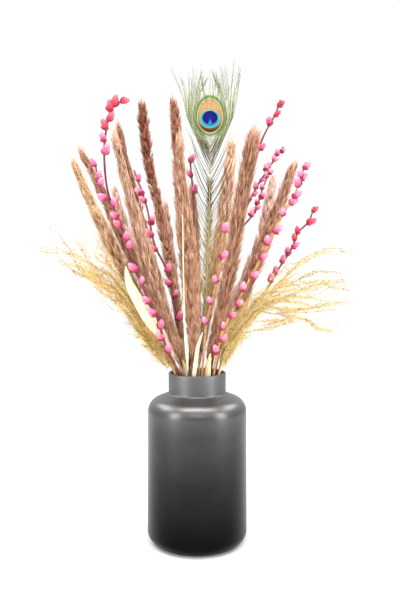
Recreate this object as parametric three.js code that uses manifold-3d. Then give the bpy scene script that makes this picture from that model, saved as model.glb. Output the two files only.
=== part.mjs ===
// Dried pampas grass with pussy willow, a peacock feather and golden grass in a satin grey glass vase.
// Millimetres, +Z up, +X to the viewer's right and +Y away from the viewer.
// The origin is the middle of the vase's foot.

import * as THREE from 'three';
import { mergeVertices } from 'three/addons/utils/BufferGeometryUtils.js';
import Module from 'manifold-3d';

const wasm = await Module();
wasm.setup();

// Vase: heights and radii of the blown glass wall
const VASE_HEIGHT = 278;
const BODY_RADIUS = 82;
const NECK_RADIUS = 47.7;
const WALL = 4;
const FLOOR = 6;
const FOOT_ROUND = 19;
const SHOULDER_ROUND = 24;
const SHOULDER_START = 214;
const SHOULDER_TURN = THREE.MathUtils.degToRad(68);
const NECK_START = 244;
const VASE_SEGMENTS = 20;
const ARC_STEPS = 2;

// Where the stems stand: just above the glass floor, in two rings that leave the middle open
const STEM_FOOT = FLOOR + 0.5;
const OUTER_RING = 37;
const INNER_RING = 25;

// Stem and plume thickness
const REED_RADIUS = 2.2;
const TWIG_RADIUS = 2.3;
const TWIG_TIP_RADIUS = 1.3;
const QUILL_RADIUS = 1.8;
const PLUME_SIDES = 6;
const PLUME_TUFTS = 4;
const TUFT_NOTCH = 0.84;
const TIP_ROUND = 0.03;
const TWIG_SIDES = 3;
const BLADE_SIDES = 4;
const BLADE_FLATNESS = 0.3;
const SPRAY_FLATNESS = 0.6;

// Catkins: long and short way across one bud, the share of its length that it stands off the twig,
// and how far it points along the twig and away from it
const CATKIN_LENGTH = 17;
const CATKIN_WIDTH = 13;
const CATKIN_OFFSET = 0.40;
const CATKIN_ALONG = 0.75;
const CATKIN_AWAY = 0.66;

// Feather: the eye's half sizes, and the locks of barbs on each side of the shaft and above the eye
const EYE_HALF = new THREE.Vector3(26, 1.4, 35);
const EYE_CENTRE = new THREE.Vector3(22, 14, 708);
const SIDE_LOCKS = 17;
const FAN_LOCKS = 9;
const LOCK_RADIUS = 1.3;
const LOCKS_FROM = 0.57;
const LOCKS_TO = 0.945;
const LOW_LOCK_LENGTH = 62;
const MIDDLE_LOCK_LENGTH = 105;
const TOP_LOCK_LENGTH = 100;
const LOW_LEFT_ANGLE = THREE.MathUtils.degToRad(27);
const LOW_RIGHT_ANGLE = THREE.MathUtils.degToRad(46);
const TOP_LOCK_ANGLE = THREE.MathUtils.degToRad(28);
const FAN_HALF_ANGLE = THREE.MathUtils.degToRad(26);
const FAN_LENGTH = 97;

// Half widths along the dense part of a grass spray and along a leaf blade, as shares of the widest
const SPRAY_SHAPE = [0.5, 0.9, 1, 0.95, 0.75, 0.45];
const BLADE_SHAPE = [0.5, 0.9, 1, 0.85, 0.5];
const WISP_RADIUS = 2.4;
const WISP_STATIONS = [[0, WISP_RADIUS], [0.35, 0.9 * WISP_RADIUS], [0.7, 0.75 * WISP_RADIUS], [1, 0]];
const WISP_SIDES = 4;
const SPRAY_RISE = 8;

const FRONT = new THREE.Vector3(0, -1, 0);
const LENGTHWISE = new THREE.Vector3(0, 1, 0);
const WELD = 1e-4;

// Pampas plumes: neck slot (ring, degrees), plume radius, where the plume starts and starts to taper
// as shares of the stem's length, colour, and the visible route from above the neck to the tip
const PAMPAS = [
  ['pampas_far_left', OUTER_RING, 178, 12, 0.50, 0.45, 0xd9b98c,
    [[-62, 4, 330], [-134, 15, 467], [-182, 22, 564], [-218, 29, 648]]],
  ['pampas_left', OUTER_RING, 158, 10, 0.56, 0.45, 0xb98a68,
    [[-54, 18, 330], [-85, 27, 418], [-124, 43, 490], [-168, 56, 585], [-213, 69, 670]]],
  ['pampas_left_back', OUTER_RING, 139, 8.5, 0.66, 0.55, 0xd8b8a4,
    [[-46, 38, 330], [-118, 86, 482], [-139, 105, 546], [-157, 124, 611]]],
  ['pampas_left_front', INNER_RING, 232, 13.5, 0.49, 0.40, 0xc9a182,
    [[-35, -24, 330], [-68, -31, 415], [-93, -44, 512], [-116, -54, 598], [-134, -65, 682]]],
  ['pampas_left_inner', INNER_RING, 168, 9.5, 0.66, 0.60, 0xa87c5c,
    [[-39, 8, 330], [-96, 16, 532], [-119, 20, 617], [-136, 25, 706]]],
  ['pampas_red_brown', INNER_RING, 147, 9, 0.56, 0.88, 0x95603f,
    [[-28, 14, 330], [-48, 15, 461], [-68, 17, 565], [-85, 18, 642], [-95, 20, 738]]],
  ['pampas_tall', OUTER_RING, 104, 9.5, 0.60, 0.85, 0xb8886d,
    [[-13, 43, 330], [-29, 67, 535], [-38, 87, 697], [-45, 95, 764]]],
  ['pampas_centre_front', INNER_RING, 262, 13.5, 0.51, 0.50, 0xc39a7a,
    [[-5, -31, 330], [-11, -47, 448], [-21, -60, 535], [-27, -70, 604], [-27, -80, 669]]],
  ['pampas_centre_back', INNER_RING, 98, 9, 0.62, 0.55, 0xab7d60,
    [[-4, 33, 330], [-4, 50, 430], [-7, 74, 551], [-11, 85, 607]]],
  ['pampas_slim', OUTER_RING, 121, 5.5, 0.74, 0.40, 0xb4876c,
    [[-26, 44, 330], [-43, 73, 447], [-50, 86, 500], [-60, 105, 581]]],
  ['pampas_right_back', OUTER_RING, 86, 12, 0.48, 0.75, 0xd0a98a,
    [[10, 45, 330], [40, 70, 500], [53, 84, 590], [65, 100, 693]]],
  ['pampas_right_front', INNER_RING, 305, 12.5, 0.48, 0.88, 0xb0805f,
    [[25, -24, 330], [50, -32, 432], [69, -40, 552], [81, -45, 616], [95, -50, 686]]],
  ['pampas_right_pale', OUTER_RING, 68, 9, 0.62, 0.60, 0xe0c3b0,
    [[36, 47, 330], [111, 91, 491], [129, 112, 565], [144, 130, 632]]],
  ['pampas_far_right', OUTER_RING, 0, 11, 0.55, 0.70, 0xb1845f,
    [[50, 1, 330], [71, 3, 389], [108, 6, 481], [142, 8, 570], [167, 10, 637]]],
];

// Willow branches: neck slot, colour of the bark, how far the catkins lean to the front, the visible
// route, and the catkins as percent of the way from the rim to the tip, minus ones to the left
const WILLOW = [
  ['willow_left', OUTER_RING, 222, 0x6e2430, 0.7,
    [[-49, -34, 320], [-64, -41, 371], [-85, -51, 419], [-104, -60, 472], [-121, -70, 523],
      [-137, -78, 565], [-142, -86, 610], [-140, -93, 652], [-126, -101, 697], [-103, -104, 706]],
    [9, -14, 18, -23, -28, 35, -40, 48, 51, -56, -59, 63, 81, -85, -89, 92, -95, -97, 100]],
  ['willow_inner_left', INNER_RING, 188, 0x7a3a38, 0,
    [[-30, -6, 330], [-34, -8, 378], [-51, -9, 448], [-70, -10, 489], [-84, -11, 555], [-104, -12, 612]],
    [26, 37, -43, 50, -62, -69, 75, -86, -90, 97]],
  ['willow_centre', INNER_RING, 123, 0x6e2430, 0,
    [[-11, 24, 330], [-6, 33, 464], [-7, 38, 568], [-13, 42, 642]],
    [-17, -28, 85, -93, 100]],
  ['willow_front', OUTER_RING, 282, 0xa5642f, 0.5,
    [[12, -52, 330], [14, -60, 361], [29, -79, 425], [38, -95, 479], [39, -105, 515]],
    [-37, -51, -66, 82, 100]],
  ['willow_right', OUTER_RING, 316, 0xb5793c, 0.6,
    [[36, -36, 330], [43, -44, 355], [74, -54, 416], [103, -63, 472], [131, -72, 529],
      [153, -78, 569], [167, -85, 614]],
    [-10, 16, -22, 28, 34, -41, 48, 57, -64, 70, -78, 84, 87, -92, 95, -96, 100]],
  ['willow_tall_right', OUTER_RING, 51, 0x6e2430, 0,
    [[34, 33, 330], [92, 52, 595], [113, 58, 674], [138, 64, 723], [146, 66, 746]],
    [82, -92, 96, 100]],
  ['willow_pink_right', OUTER_RING, 34, 0x6b2a38, 0,
    [[42, 31, 330], [75, 60, 526], [102, 69, 588], [129, 75, 631], [153, 80, 666]],
    [-74, 77, -80, 84, -89, -91, -95, 95, -98, 100]],
  ['willow_far_right', OUTER_RING, 17, 0x7a2d38, 0,
    [[62, 16, 330], [98, 23, 379], [141, 30, 452], [162, 33, 485], [173, 36, 511],
      [192, 38, 531], [201, 40, 556]],
    [-55, -60, -67, -72, 77, -81, -85, 93, 100]],
];

// Side twigs: the branch they grow from, their route from the fork to the tip and their catkins
const SIDE_TWIGS = {
  willow_left: [[[-129, -74, 544], [-146, -92, 571], [-152, -96, 594], [-154, -99, 608]],
    [-28, 56, 73, -100]],
  willow_pink_right: [[[70, 58, 513], [100, 56, 548], [114, 62, 588], [127, 66, 620]],
    [-30, -36, 43, -49, 60, -73, -92, 98]],
};

// Feather shaft above the neck
const FEATHER_ROUTE = [[11, 22, 330], [15, 21, 396], [20, 18, 532], [22, 16, 633], [22, 14, 715]];

// Golden grass: neck slot, main stem, radius of the dense part, and the loose wisps that leave it
const GRASS = [
  ['grass_left', 199, 19, [[-62, -16, 330], [-109, -23, 399], [-148, -30, 461], [-195, -34, 508]], [
    [[-132, -27, 432], [-205, -40, 475], [-260, -46, 483]],
    [[-122, -25, 410], [-181, -38, 440], [-206, -48, 488], [-237, -58, 519]],
    [[-140, -28, 445], [-186, -20, 438], [-229, -14, 470]],
    [[-58, -15, 325], [-84, -28, 336], [-113, -36, 346]],
    [[-84, -19, 362], [-128, -44, 391], [-160, -52, 424]],
    [[-136, -28, 444], [-155, -18, 482], [-164, -8, 497]],
  ]],
  ['grass_right', 340, 24, [[58, -21, 326], [104, -33, 386], [150, -42, 424], [190, -48, 458]], [
    [[108, -34, 396], [166, -52, 462], [211, -60, 482], [246, -64, 475]],
    [[140, -40, 422], [198, -36, 445], [238, -30, 443]],
    [[138, -40, 420], [195, -58, 428], [219, -62, 419], [250, -66, 416]],
    [[118, -36, 402], [182, -28, 408], [222, -18, 436]],
    [[104, -33, 392], [150, -30, 382], [198, -26, 388], [251, -22, 395]],
    [[96, -31, 382], [174, -50, 367], [191, -54, 354], [233, -60, 364]],
    [[72, -25, 345], [125, -48, 359], [161, -56, 372]],
    [[90, -30, 374], [125, -20, 436], [160, -14, 462]],
  ]],
];

// Leaf blades: neck slot, widest half width, share where the blade starts, colour and route
const LEAVES = [
  ['leaf_broad', INNER_RING, 207, 10.5, 0.62, 0xeed9ae,
    [[-44, -24, 320], [-69, -33, 357], [-96, -40, 401], [-108, -44, 425], [-114, -46, 454]]],
  ['leaf_short_left', OUTER_RING, 262, 4.5, 0.72, 0xeedcca,
    [[-2, -38, 300], [1, -40, 323], [9, -43, 349]]],
  ['leaf_short_right', OUTER_RING, 298, 4.5, 0.74, 0xecd2a0,
    [[19, -35, 296], [21, -37, 314]]],
];

function material(color, roughness, metalness = 0) {
  return new THREE.MeshStandardMaterial({ color, roughness, metalness });
}

// A closed solid from a geometry: shared corners are welded and collapsed triangles dropped.
function toSolid(geometry) {
  const bare = geometry.clone();
  bare.deleteAttribute('normal');
  bare.deleteAttribute('uv');
  const welded = mergeVertices(bare, WELD);
  const corners = welded.index.array;
  const triVerts = [];
  for (let i = 0; i < corners.length; i += 3) {
    const [a, b, c] = corners.slice(i, i + 3);
    if (a !== b && b !== c && c !== a) {
      triVerts.push(a, b, c);
    }
  }
  return new wasm.Manifold(new wasm.Mesh({
    numProp: 3,
    vertProperties: new Float32Array(welded.attributes.position.array),
    triVerts: new Uint32Array(triVerts),
  }));
}

// What grew as one piece is joined in one geometry.
function fuse(geometries) {
  const whole = geometries.map(toSolid).reduce((joined, piece) => joined.add(piece));
  const mesh = whole.getMesh();
  const geometry = new THREE.BufferGeometry();
  geometry.setAttribute('position', new THREE.BufferAttribute(new Float32Array(mesh.vertProperties), 3));
  geometry.setIndex(new THREE.BufferAttribute(new Uint32Array(mesh.triVerts), 1));
  geometry.computeVertexNormals();
  return geometry;
}

function namedMesh(name, geometries, finish) {
  const mesh = new THREE.Mesh(fuse(geometries), finish);
  mesh.name = name;
  return mesh;
}

function smoothCurve(points) {
  return new THREE.CatmullRomCurve3(points.map((point) => new THREE.Vector3(...point)));
}

// A stem stands on the floor under its slot in the neck, comes up through the neck and then leans out.
function stemCurve(ring, degrees, route) {
  const angle = THREE.MathUtils.degToRad(degrees);
  const x = ring * Math.cos(angle);
  const y = ring * Math.sin(angle);
  return smoothCurve([[x, y, STEM_FOOT], [x, y, NECK_START], [x, y, VASE_HEIGHT - WALL], ...route]);
}

function shareAtHeight(curve, height) {
  let share = 0;
  while (curve.getPointAt(share).z < height) {
    share += 0.005;
  }
  return share;
}

// A spindle is turned on the lathe and bent along a curve. A station is a share of the curve's length
// and the radius there. Flatness thins the section towards the viewer.
function bentSpindle(curve, stations, sides, flatness = 1) {
  const [first] = stations[0];
  const profile = stations.map(([share, radius]) => new THREE.Vector2(radius, share));
  profile.unshift(new THREE.Vector2(0, first));
  const [last, lastRadius] = stations[stations.length - 1];
  if (lastRadius > 0) {
    profile.push(new THREE.Vector2(0, last));
  }
  const spindle = new THREE.LatheGeometry(profile, sides);
  const corners = spindle.attributes.position;
  for (let i = 0; i < corners.count; i += 1) {
    const share = corners.getY(i);
    const tangent = curve.getTangentAt(share);
    const across = new THREE.Vector3().crossVectors(tangent, FRONT).normalize();
    const outwards = new THREE.Vector3().crossVectors(across, tangent);
    const point = curve.getPointAt(share);
    point.addScaledVector(across, corners.getX(i));
    point.addScaledVector(outwards, corners.getZ(i) * flatness);
    corners.setXYZ(i, point.x, point.y, point.z);
  }
  return spindle;
}

// A stem of even stations, from one share of its length to another, that thins on the way.
function stemStations(start, end, steps, startRadius, endRadius) {
  const stations = [];
  for (let i = 0; i <= steps; i += 1) {
    const along = i / steps;
    stations.push([
      THREE.MathUtils.lerp(start, end, along),
      THREE.MathUtils.lerp(startRadius, endRadius, along),
    ]);
  }
  return stations;
}

// A bare reed: straight up to the rim, then in steps to where it starts to carry a plume or a blade.
function reedStations(curve, end) {
  const rim = shareAtHeight(curve, VASE_HEIGHT);
  const upright = [[0, REED_RADIUS], [rim * 0.9, REED_RADIUS]];
  return [...upright, ...stemStations(rim * 1.02, end, 2, REED_RADIUS, REED_RADIUS * 0.8)];
}

function vaseProfile() {
  const shoulderX = BODY_RADIUS - SHOULDER_ROUND;
  const footX = BODY_RADIUS - FOOT_ROUND;
  const lipX = NECK_RADIUS - WALL / 2;
  const lipY = VASE_HEIGHT - WALL / 2;
  const profile = new THREE.Path();
  profile.moveTo(0, 0);
  profile.lineTo(footX, 0);
  profile.absarc(footX, FOOT_ROUND, FOOT_ROUND, -Math.PI / 2, 0);
  profile.absarc(shoulderX, SHOULDER_START, SHOULDER_ROUND, 0, SHOULDER_TURN);
  profile.lineTo(NECK_RADIUS, NECK_START);
  profile.absarc(lipX, lipY, WALL / 2, 0, Math.PI);
  profile.lineTo(NECK_RADIUS - WALL, NECK_START - WALL);
  profile.absarc(shoulderX, SHOULDER_START, SHOULDER_ROUND - WALL, SHOULDER_TURN, 0, true);
  profile.absarc(footX, FOOT_ROUND + FLOOR - WALL, FOOT_ROUND - WALL, 0, -Math.PI / 2, true);
  profile.lineTo(0, FLOOR);
  return profile.getPoints(ARC_STEPS);
}

function vase() {
  const glass = new THREE.LatheGeometry(vaseProfile(), VASE_SEGMENTS);
  glass.rotateX(Math.PI / 2);
  return namedMesh('vase', [glass], material(0x55565a, 0.38));
}

// A plume swells from its reed, keeps its width to where the taper starts and ends in a soft point.
function plumeRadius(along, taper) {
  const swell = 0.3 + 0.7 * THREE.MathUtils.smoothstep(along, 0, 0.34);
  const narrowing = 1 - 0.72 * THREE.MathUtils.smoothstep(along, taper, 1.08);
  return swell * narrowing;
}

function pampas([name, ring, degrees, radius, start, taper, color, route]) {
  const curve = stemCurve(ring, degrees, route);
  const stations = reedStations(curve, start);
  const rings = 2 * PLUME_TUFTS;
  for (let i = 1; i < rings; i += 1) {
    const along = i / rings;
    const tuft = i % 2 ? 1 : TUFT_NOTCH;
    stations.push([start + (1 - start) * along, radius * tuft * plumeRadius(along, taper)]);
  }
  stations.push([1 - TIP_ROUND * (1 - start), radius * plumeRadius(1, taper)], [1, 0]);
  return namedMesh(name, [bentSpindle(curve, stations, PLUME_SIDES)], material(color, 0.95));
}

function catkin(curve, share, side, lean, index) {
  const tangent = curve.getTangentAt(share);
  const depth = -lean + (1 - lean) * 0.6 * Math.sin(2.4 * index);
  const sideways = new THREE.Vector3(side, depth, 0).projectOnPlane(tangent).normalize();
  const along = tangent.clone().multiplyScalar(CATKIN_ALONG);
  const direction = along.addScaledVector(sideways, CATKIN_AWAY).normalize();
  const centre = curve.getPointAt(share).addScaledVector(direction, CATKIN_LENGTH * CATKIN_OFFSET);
  const turn = new THREE.Quaternion().setFromUnitVectors(LENGTHWISE, direction);
  const size = new THREE.Vector3(CATKIN_WIDTH / 2, CATKIN_LENGTH / 2, CATKIN_WIDTH / 2);
  const bud = new THREE.OctahedronGeometry(1);
  bud.applyMatrix4(new THREE.Matrix4().compose(centre, turn, size));
  return bud;
}

function catkins(curve, start, percents, lean) {
  return percents.map((percent, index) => {
    const share = THREE.MathUtils.lerp(start, 0.985, Math.abs(percent) / 100);
    return catkin(curve, share, Math.sign(percent), lean, index);
  });
}

function willow([name, ring, degrees, color, lean, route, percents]) {
  const curve = stemCurve(ring, degrees, route);
  const rim = shareAtHeight(curve, VASE_HEIGHT);
  const steps = 2 * route.length;
  const stations = [[0, TWIG_RADIUS], ...stemStations(rim * 0.9, 1, steps, TWIG_RADIUS, TWIG_TIP_RADIUS)];
  const pieces = [bentSpindle(curve, stations, TWIG_SIDES), ...catkins(curve, rim, percents, lean)];
  if (SIDE_TWIGS[name]) {
    const [twigRoute, twigPercents] = SIDE_TWIGS[name];
    const twig = smoothCurve(twigRoute);
    pieces.push(bentSpindle(twig, stemStations(0, 1, 4, TWIG_TIP_RADIUS * 1.3, TWIG_TIP_RADIUS), TWIG_SIDES));
    pieces.push(...catkins(twig, 0, twigPercents, lean));
  }
  return namedMesh(name, pieces, material(color, 0.7));
}

// One lock of barbs: a thin flat sliver that leaves the shaft at an angle from straight up.
function lock(root, angle, length) {
  const tip = new THREE.Vector3(Math.sin(angle), 0, Math.cos(angle)).multiplyScalar(length).add(root);
  const line = new THREE.LineCurve3(root, tip);
  return bentSpindle(line, [[0, LOCK_RADIUS], [1, 0]], 3, 0.5);
}

// The right barbs stand wider than the left ones low down; near the eye both sides are alike.
function sideLocks(curve, side) {
  const lowAngle = side > 0 ? LOW_RIGHT_ANGLE : LOW_LEFT_ANGLE;
  const locks = [];
  for (let i = 0; i < SIDE_LOCKS; i += 1) {
    const up = i / (SIDE_LOCKS - 1);
    const root = curve.getPointAt(THREE.MathUtils.lerp(LOCKS_FROM, LOCKS_TO, up));
    const angle = THREE.MathUtils.lerp(lowAngle, TOP_LOCK_ANGLE, up);
    const growth = THREE.MathUtils.smoothstep(up, 0, 0.6);
    const longest = THREE.MathUtils.lerp(MIDDLE_LOCK_LENGTH, TOP_LOCK_LENGTH, up);
    locks.push(lock(root, side * angle, THREE.MathUtils.lerp(LOW_LOCK_LENGTH, longest, growth)));
  }
  return locks;
}

// Above the eye the locks fan out from its upper edge.
function fanLocks() {
  const locks = [];
  for (let i = 0; i < FAN_LOCKS; i += 1) {
    const angle = FAN_HALF_ANGLE * ((2 * i) / (FAN_LOCKS - 1) - 1);
    const upwards = 0.8 * Math.cos(2 * angle);
    const root = new THREE.Vector3(0.8 * Math.sin(2 * angle), 0, upwards).multiply(EYE_HALF).add(EYE_CENTRE);
    locks.push(lock(root, angle, FAN_LENGTH - EYE_HALF.z * upwards));
  }
  return locks;
}

function feather() {
  const curve = stemCurve(INNER_RING, 70, FEATHER_ROUTE);
  const shaft = bentSpindle(curve, stemStations(0, 1, 10, QUILL_RADIUS, QUILL_RADIUS * 0.5), TWIG_SIDES);
  const eye = new THREE.SphereGeometry(1, 10, 5);
  eye.rotateX(Math.PI / 2);
  eye.scale(EYE_HALF.x, EYE_HALF.y, EYE_HALF.z);
  eye.translate(EYE_CENTRE.x, EYE_CENTRE.y, EYE_CENTRE.z);
  const pieces = [shaft, eye, ...sideLocks(curve, -1), ...sideLocks(curve, 1), ...fanLocks()];
  return namedMesh('peacock_feather', pieces, material(0x8f9358, 0.6));
}

function grass([name, degrees, radius, route, wisps]) {
  const curve = stemCurve(OUTER_RING, degrees, route);
  const rim = shareAtHeight(curve, VASE_HEIGHT + SPRAY_RISE);
  const stations = stemStations(0, rim, 4, REED_RADIUS, REED_RADIUS);
  SPRAY_SHAPE.forEach((share, index, shares) => {
    const along = (index + 1) / (shares.length + 1);
    stations.push([rim + (1 - rim) * along, radius * share]);
  });
  stations.push([1, 0]);
  const pieces = [bentSpindle(curve, stations, PLUME_SIDES, SPRAY_FLATNESS)];
  wisps.forEach((wisp) => {
    pieces.push(bentSpindle(smoothCurve(wisp), WISP_STATIONS, WISP_SIDES));
  });
  return namedMesh(name, pieces, material(0xd9b768, 0.9));
}

function leaf([name, ring, degrees, halfWidth, start, color, route]) {
  const curve = stemCurve(ring, degrees, route);
  const stations = reedStations(curve, start);
  BLADE_SHAPE.forEach((share, index, shares) => {
    const along = (index + 0.6) / shares.length;
    stations.push([start + (1 - start) * along, halfWidth * share]);
  });
  stations.push([1, 0]);
  return namedMesh(name, [bentSpindle(curve, stations, BLADE_SIDES, BLADE_FLATNESS)], material(color, 0.8));
}

const bouquet = new THREE.Group();
bouquet.add(vase());
bouquet.add(...PAMPAS.map(pampas));
bouquet.add(...WILLOW.map(willow));
bouquet.add(feather());
bouquet.add(...GRASS.map(grass));
bouquet.add(...LEAVES.map(leaf));

export default bouquet;
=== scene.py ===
# %% [markdown]
# # Dried pampas grass in a vase
# A dry bouquet stands in a grey glass vase: fourteen pampas plumes, eight branches of pink pussy willow,
# one peacock feather, two sprays of golden grass and three leaf blades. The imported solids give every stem
# its place. This lesson dresses each solid with the glass, hair, down and barbs that make it look real.

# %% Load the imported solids
import math

import bpy
import numpy as np
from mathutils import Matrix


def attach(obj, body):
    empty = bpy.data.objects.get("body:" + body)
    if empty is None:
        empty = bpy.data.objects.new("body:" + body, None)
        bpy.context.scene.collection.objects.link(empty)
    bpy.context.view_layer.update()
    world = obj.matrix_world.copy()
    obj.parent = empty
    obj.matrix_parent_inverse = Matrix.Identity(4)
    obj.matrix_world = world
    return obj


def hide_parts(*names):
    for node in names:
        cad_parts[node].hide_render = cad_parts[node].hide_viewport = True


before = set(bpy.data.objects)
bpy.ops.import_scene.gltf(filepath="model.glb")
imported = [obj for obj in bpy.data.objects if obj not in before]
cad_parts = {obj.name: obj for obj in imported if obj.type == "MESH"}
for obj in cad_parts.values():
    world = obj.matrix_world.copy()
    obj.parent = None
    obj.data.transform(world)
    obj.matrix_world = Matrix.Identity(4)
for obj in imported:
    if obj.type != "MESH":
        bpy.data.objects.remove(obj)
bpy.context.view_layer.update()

MM = 0.001

# %% [markdown]
# ## Finishes
# Every finish is a small tree of nodes. Building a tree by hand means adding a node, setting its fields and
# linking its sockets, over and over, so a few short helpers do just that. Colours are written as six-digit
# codes, the way a paint chart shows them, or as one number for a grey, and turned into the linear values that
# Blender's sockets take.

# %% Helpers for finishes
MAP = "OFBake"


def paint(code):
    parts = [int(code[i:i + 2], 16) / 255 for i in (0, 2, 4)]
    return [p / 12.92 if p < 0.04045 else ((p + 0.055) / 1.055) ** 2.4 for p in parts] + [1.0]


def tone(value):
    if isinstance(value, str):
        return paint(value)
    return [value, value, value, 1.0] if isinstance(value, (int, float)) else [*value, 1.0]


def sockets_of(finish):
    return finish.node_tree.nodes["Principled BSDF"].inputs


def new_finish(name, roughness, sheen=0.0, specular=0.5, metallic=0.0):
    finish = bpy.data.materials.new(name)
    finish.use_nodes = True
    sockets = sockets_of(finish)
    sockets["Roughness"].default_value = roughness
    sockets["Sheen Weight"].default_value = sheen
    sockets["Specular IOR Level"].default_value = specular
    sockets["Metallic"].default_value = metallic
    return finish


def feed(finish, value, socket):
    if isinstance(value, bpy.types.NodeSocket):
        finish.node_tree.links.new(value, socket)
    else:
        socket.default_value = paint(value) if isinstance(value, str) else value


def add_node(finish, kind, inputs, **fields):
    node = finish.node_tree.nodes.new(kind)
    for field, value in fields.items():
        setattr(node, field, value)
    for socket, value in inputs.items():
        feed(finish, value, node.inputs[socket])
    return node


def calc(finish, operation, first, second=0.0):
    return add_node(finish, "ShaderNodeMath", {0: first, 1: second}, operation=operation).outputs[0]


def ramp(finish, factor, stops):
    node = add_node(finish, "ShaderNodeValToRGB", {0: factor})
    elements = node.color_ramp.elements
    elements.remove(elements[1])
    elements[0].position, elements[0].color = stops[0][0], tone(stops[0][1])
    for place, value in stops[1:]:
        elements.new(place).color = tone(value)
    return node.outputs[0]


print("node helpers ready; strands carry their own map, named", MAP)

# %% Helpers for colour and pattern
def mix(finish, factor, first, second, way="MIX"):
    node = add_node(finish, "ShaderNodeMix", {}, data_type="RGBA", blend_type=way)
    for socket, value in ((0, factor), (6, first), (7, second)):
        feed(finish, value, node.inputs[socket])
    return node.outputs[2]


def times(finish, first, second):
    return mix(finish, 1.0, first, second, "MULTIPLY")


def colour_of(finish, colour):
    feed(finish, colour, sockets_of(finish)["Base Color"])


def place_in(finish, source="object"):
    if source == "map":
        spot = add_node(finish, "ShaderNodeUVMap", {}, uv_map=MAP).outputs[0]
    else:
        spot = add_node(finish, "ShaderNodeTexCoord", {}).outputs["Object"]
    return spot, add_node(finish, "ShaderNodeSeparateXYZ", {0: spot}).outputs


def speckle(finish, coordinates, scale, detail=2.0):
    return add_node(finish, "ShaderNodeTexNoise",
                    {"Vector": coordinates, "Scale": scale, "Detail": detail}).outputs[0]


def speckle_by_row(finish, row, scale, detail=0.0):
    line = add_node(finish, "ShaderNodeCombineXYZ", {0: calc(finish, "MULTIPLY", row, scale)}).outputs[0]
    return speckle(finish, line, 1.0, detail)


def grain_up(finish, coordinates, draw, scale, detail=2.0):
    drawn_out = add_node(finish, "ShaderNodeMapping", {"Vector": coordinates, "Scale": (1.0, 1.0, draw)})
    return speckle(finish, drawn_out.outputs[0], scale, detail)


def bump(finish, height, strength, distance):
    node = add_node(finish, "ShaderNodeBump", {"Height": height, "Strength": strength, "Distance": distance})
    feed(finish, node.outputs[0], sockets_of(finish)["Normal"])


def dress(finish, *pieces):
    for piece in pieces:
        piece.data.materials.append(finish)


print("colour code 808080 is linear", round(paint("808080")[0], 3))

# %% [markdown]
# ## The vase
# The vase is one blown bottle of satin grey glass: a straight body, a round shoulder, a short neck and a
# rounded lip. It could be spun from a profile. Here a ring of vertices is extruded and resized step by
# step up the outside, over the lip and down the inside, the way a hand would draw it up on a wheel.

# %% Vase profile
VASE_HEIGHT, BODY_RADIUS, NECK_RADIUS, WALL, FLOOR = 278.0, 82.0, 47.7, 4.0, 6.0
FOOT_ROUND, SHOULDER_ROUND, SHOULDER_TURN, SHOULDER_HEIGHT = 19.0, 24.0, 68.0, 214.0
NECK_START, NECK_FILLET = 244.0, 4.0


def arc(centre, radius, first, last, steps):
    turns = np.radians(np.linspace(first, last, steps))
    return [(centre[0] + radius * math.cos(t), centre[1] + radius * math.sin(t)) for t in turns]


foot_middle = (BODY_RADIUS - FOOT_ROUND, FOOT_ROUND)
shoulder_middle = (BODY_RADIUS - SHOULDER_ROUND, SHOULDER_HEIGHT)
lip_middle = (NECK_RADIUS - WALL / 2, VASE_HEIGHT - WALL / 2)
inner_foot = (foot_middle[0], FLOOR + FOOT_ROUND - WALL)
neck_fillet = arc((NECK_RADIUS + NECK_FILLET, NECK_START + 2.6), NECK_FILLET, 180 + SHOULDER_TURN, 180, 5)
vase_profile = [
    *arc(foot_middle, FOOT_ROUND, -90, 0, 10),
    *[(BODY_RADIUS, z) for z in (50, 90, 130, 170, 200)],
    *arc(shoulder_middle, SHOULDER_ROUND, 0, SHOULDER_TURN, 10),
    *neck_fillet,
    (NECK_RADIUS, 256), (NECK_RADIUS, 270),
    *arc(lip_middle, WALL / 2, 0, 180, 7),
    (NECK_RADIUS - WALL, 260), (NECK_RADIUS - WALL, 242),
    *arc(shoulder_middle, SHOULDER_ROUND - WALL, SHOULDER_TURN, 0, 8),
    *[(BODY_RADIUS - WALL, z) for z in (170, 110, 50)],
    *arc(inner_foot, FOOT_ROUND - WALL, 0, -90, 6),
]
print(len(vase_profile), "rings from the foot over the lip to the floor inside")

# %% Draw the vase up ring by ring
def select_ring(piece, radius, height):
    bpy.ops.object.mode_set(mode="OBJECT")
    for vertex in piece.data.vertices:
        x, y, z = vertex.co
        vertex.select = abs(math.hypot(x, y) - radius * MM) < 1e-5 and abs(z - height * MM) < 1e-5
    bpy.ops.object.mode_set(mode="EDIT")


bpy.ops.mesh.primitive_circle_add(vertices=96, radius=vase_profile[0][0] * MM, location=(0, 0, 0))
vase = bpy.context.object
bpy.ops.object.mode_set(mode="EDIT")
bpy.ops.mesh.select_mode(type="VERT")
bpy.ops.mesh.select_all(action="SELECT")
for (r0, z0), (r1, z1) in zip(vase_profile, vase_profile[1:]):
    bpy.ops.mesh.extrude_edges_move(TRANSFORM_OT_translate={"value": (0, 0, (z1 - z0) * MM)})
    bpy.ops.transform.resize(value=(r1 / r0, r1 / r0, 1), center_override=(0, 0, z1 * MM))
bpy.ops.mesh.edge_face_add()
select_ring(vase, *vase_profile[0])
bpy.ops.mesh.edge_face_add()
bpy.ops.mesh.select_all(action="SELECT")
bpy.ops.mesh.normals_make_consistent(inside=False)
bpy.ops.object.mode_set(mode="OBJECT")
bpy.ops.object.shade_smooth_by_angle(angle=math.radians(40))
print("vase height in mm", round(vase.dimensions.z / MM, 1), "faces", len(vase.data.polygons))
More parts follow.
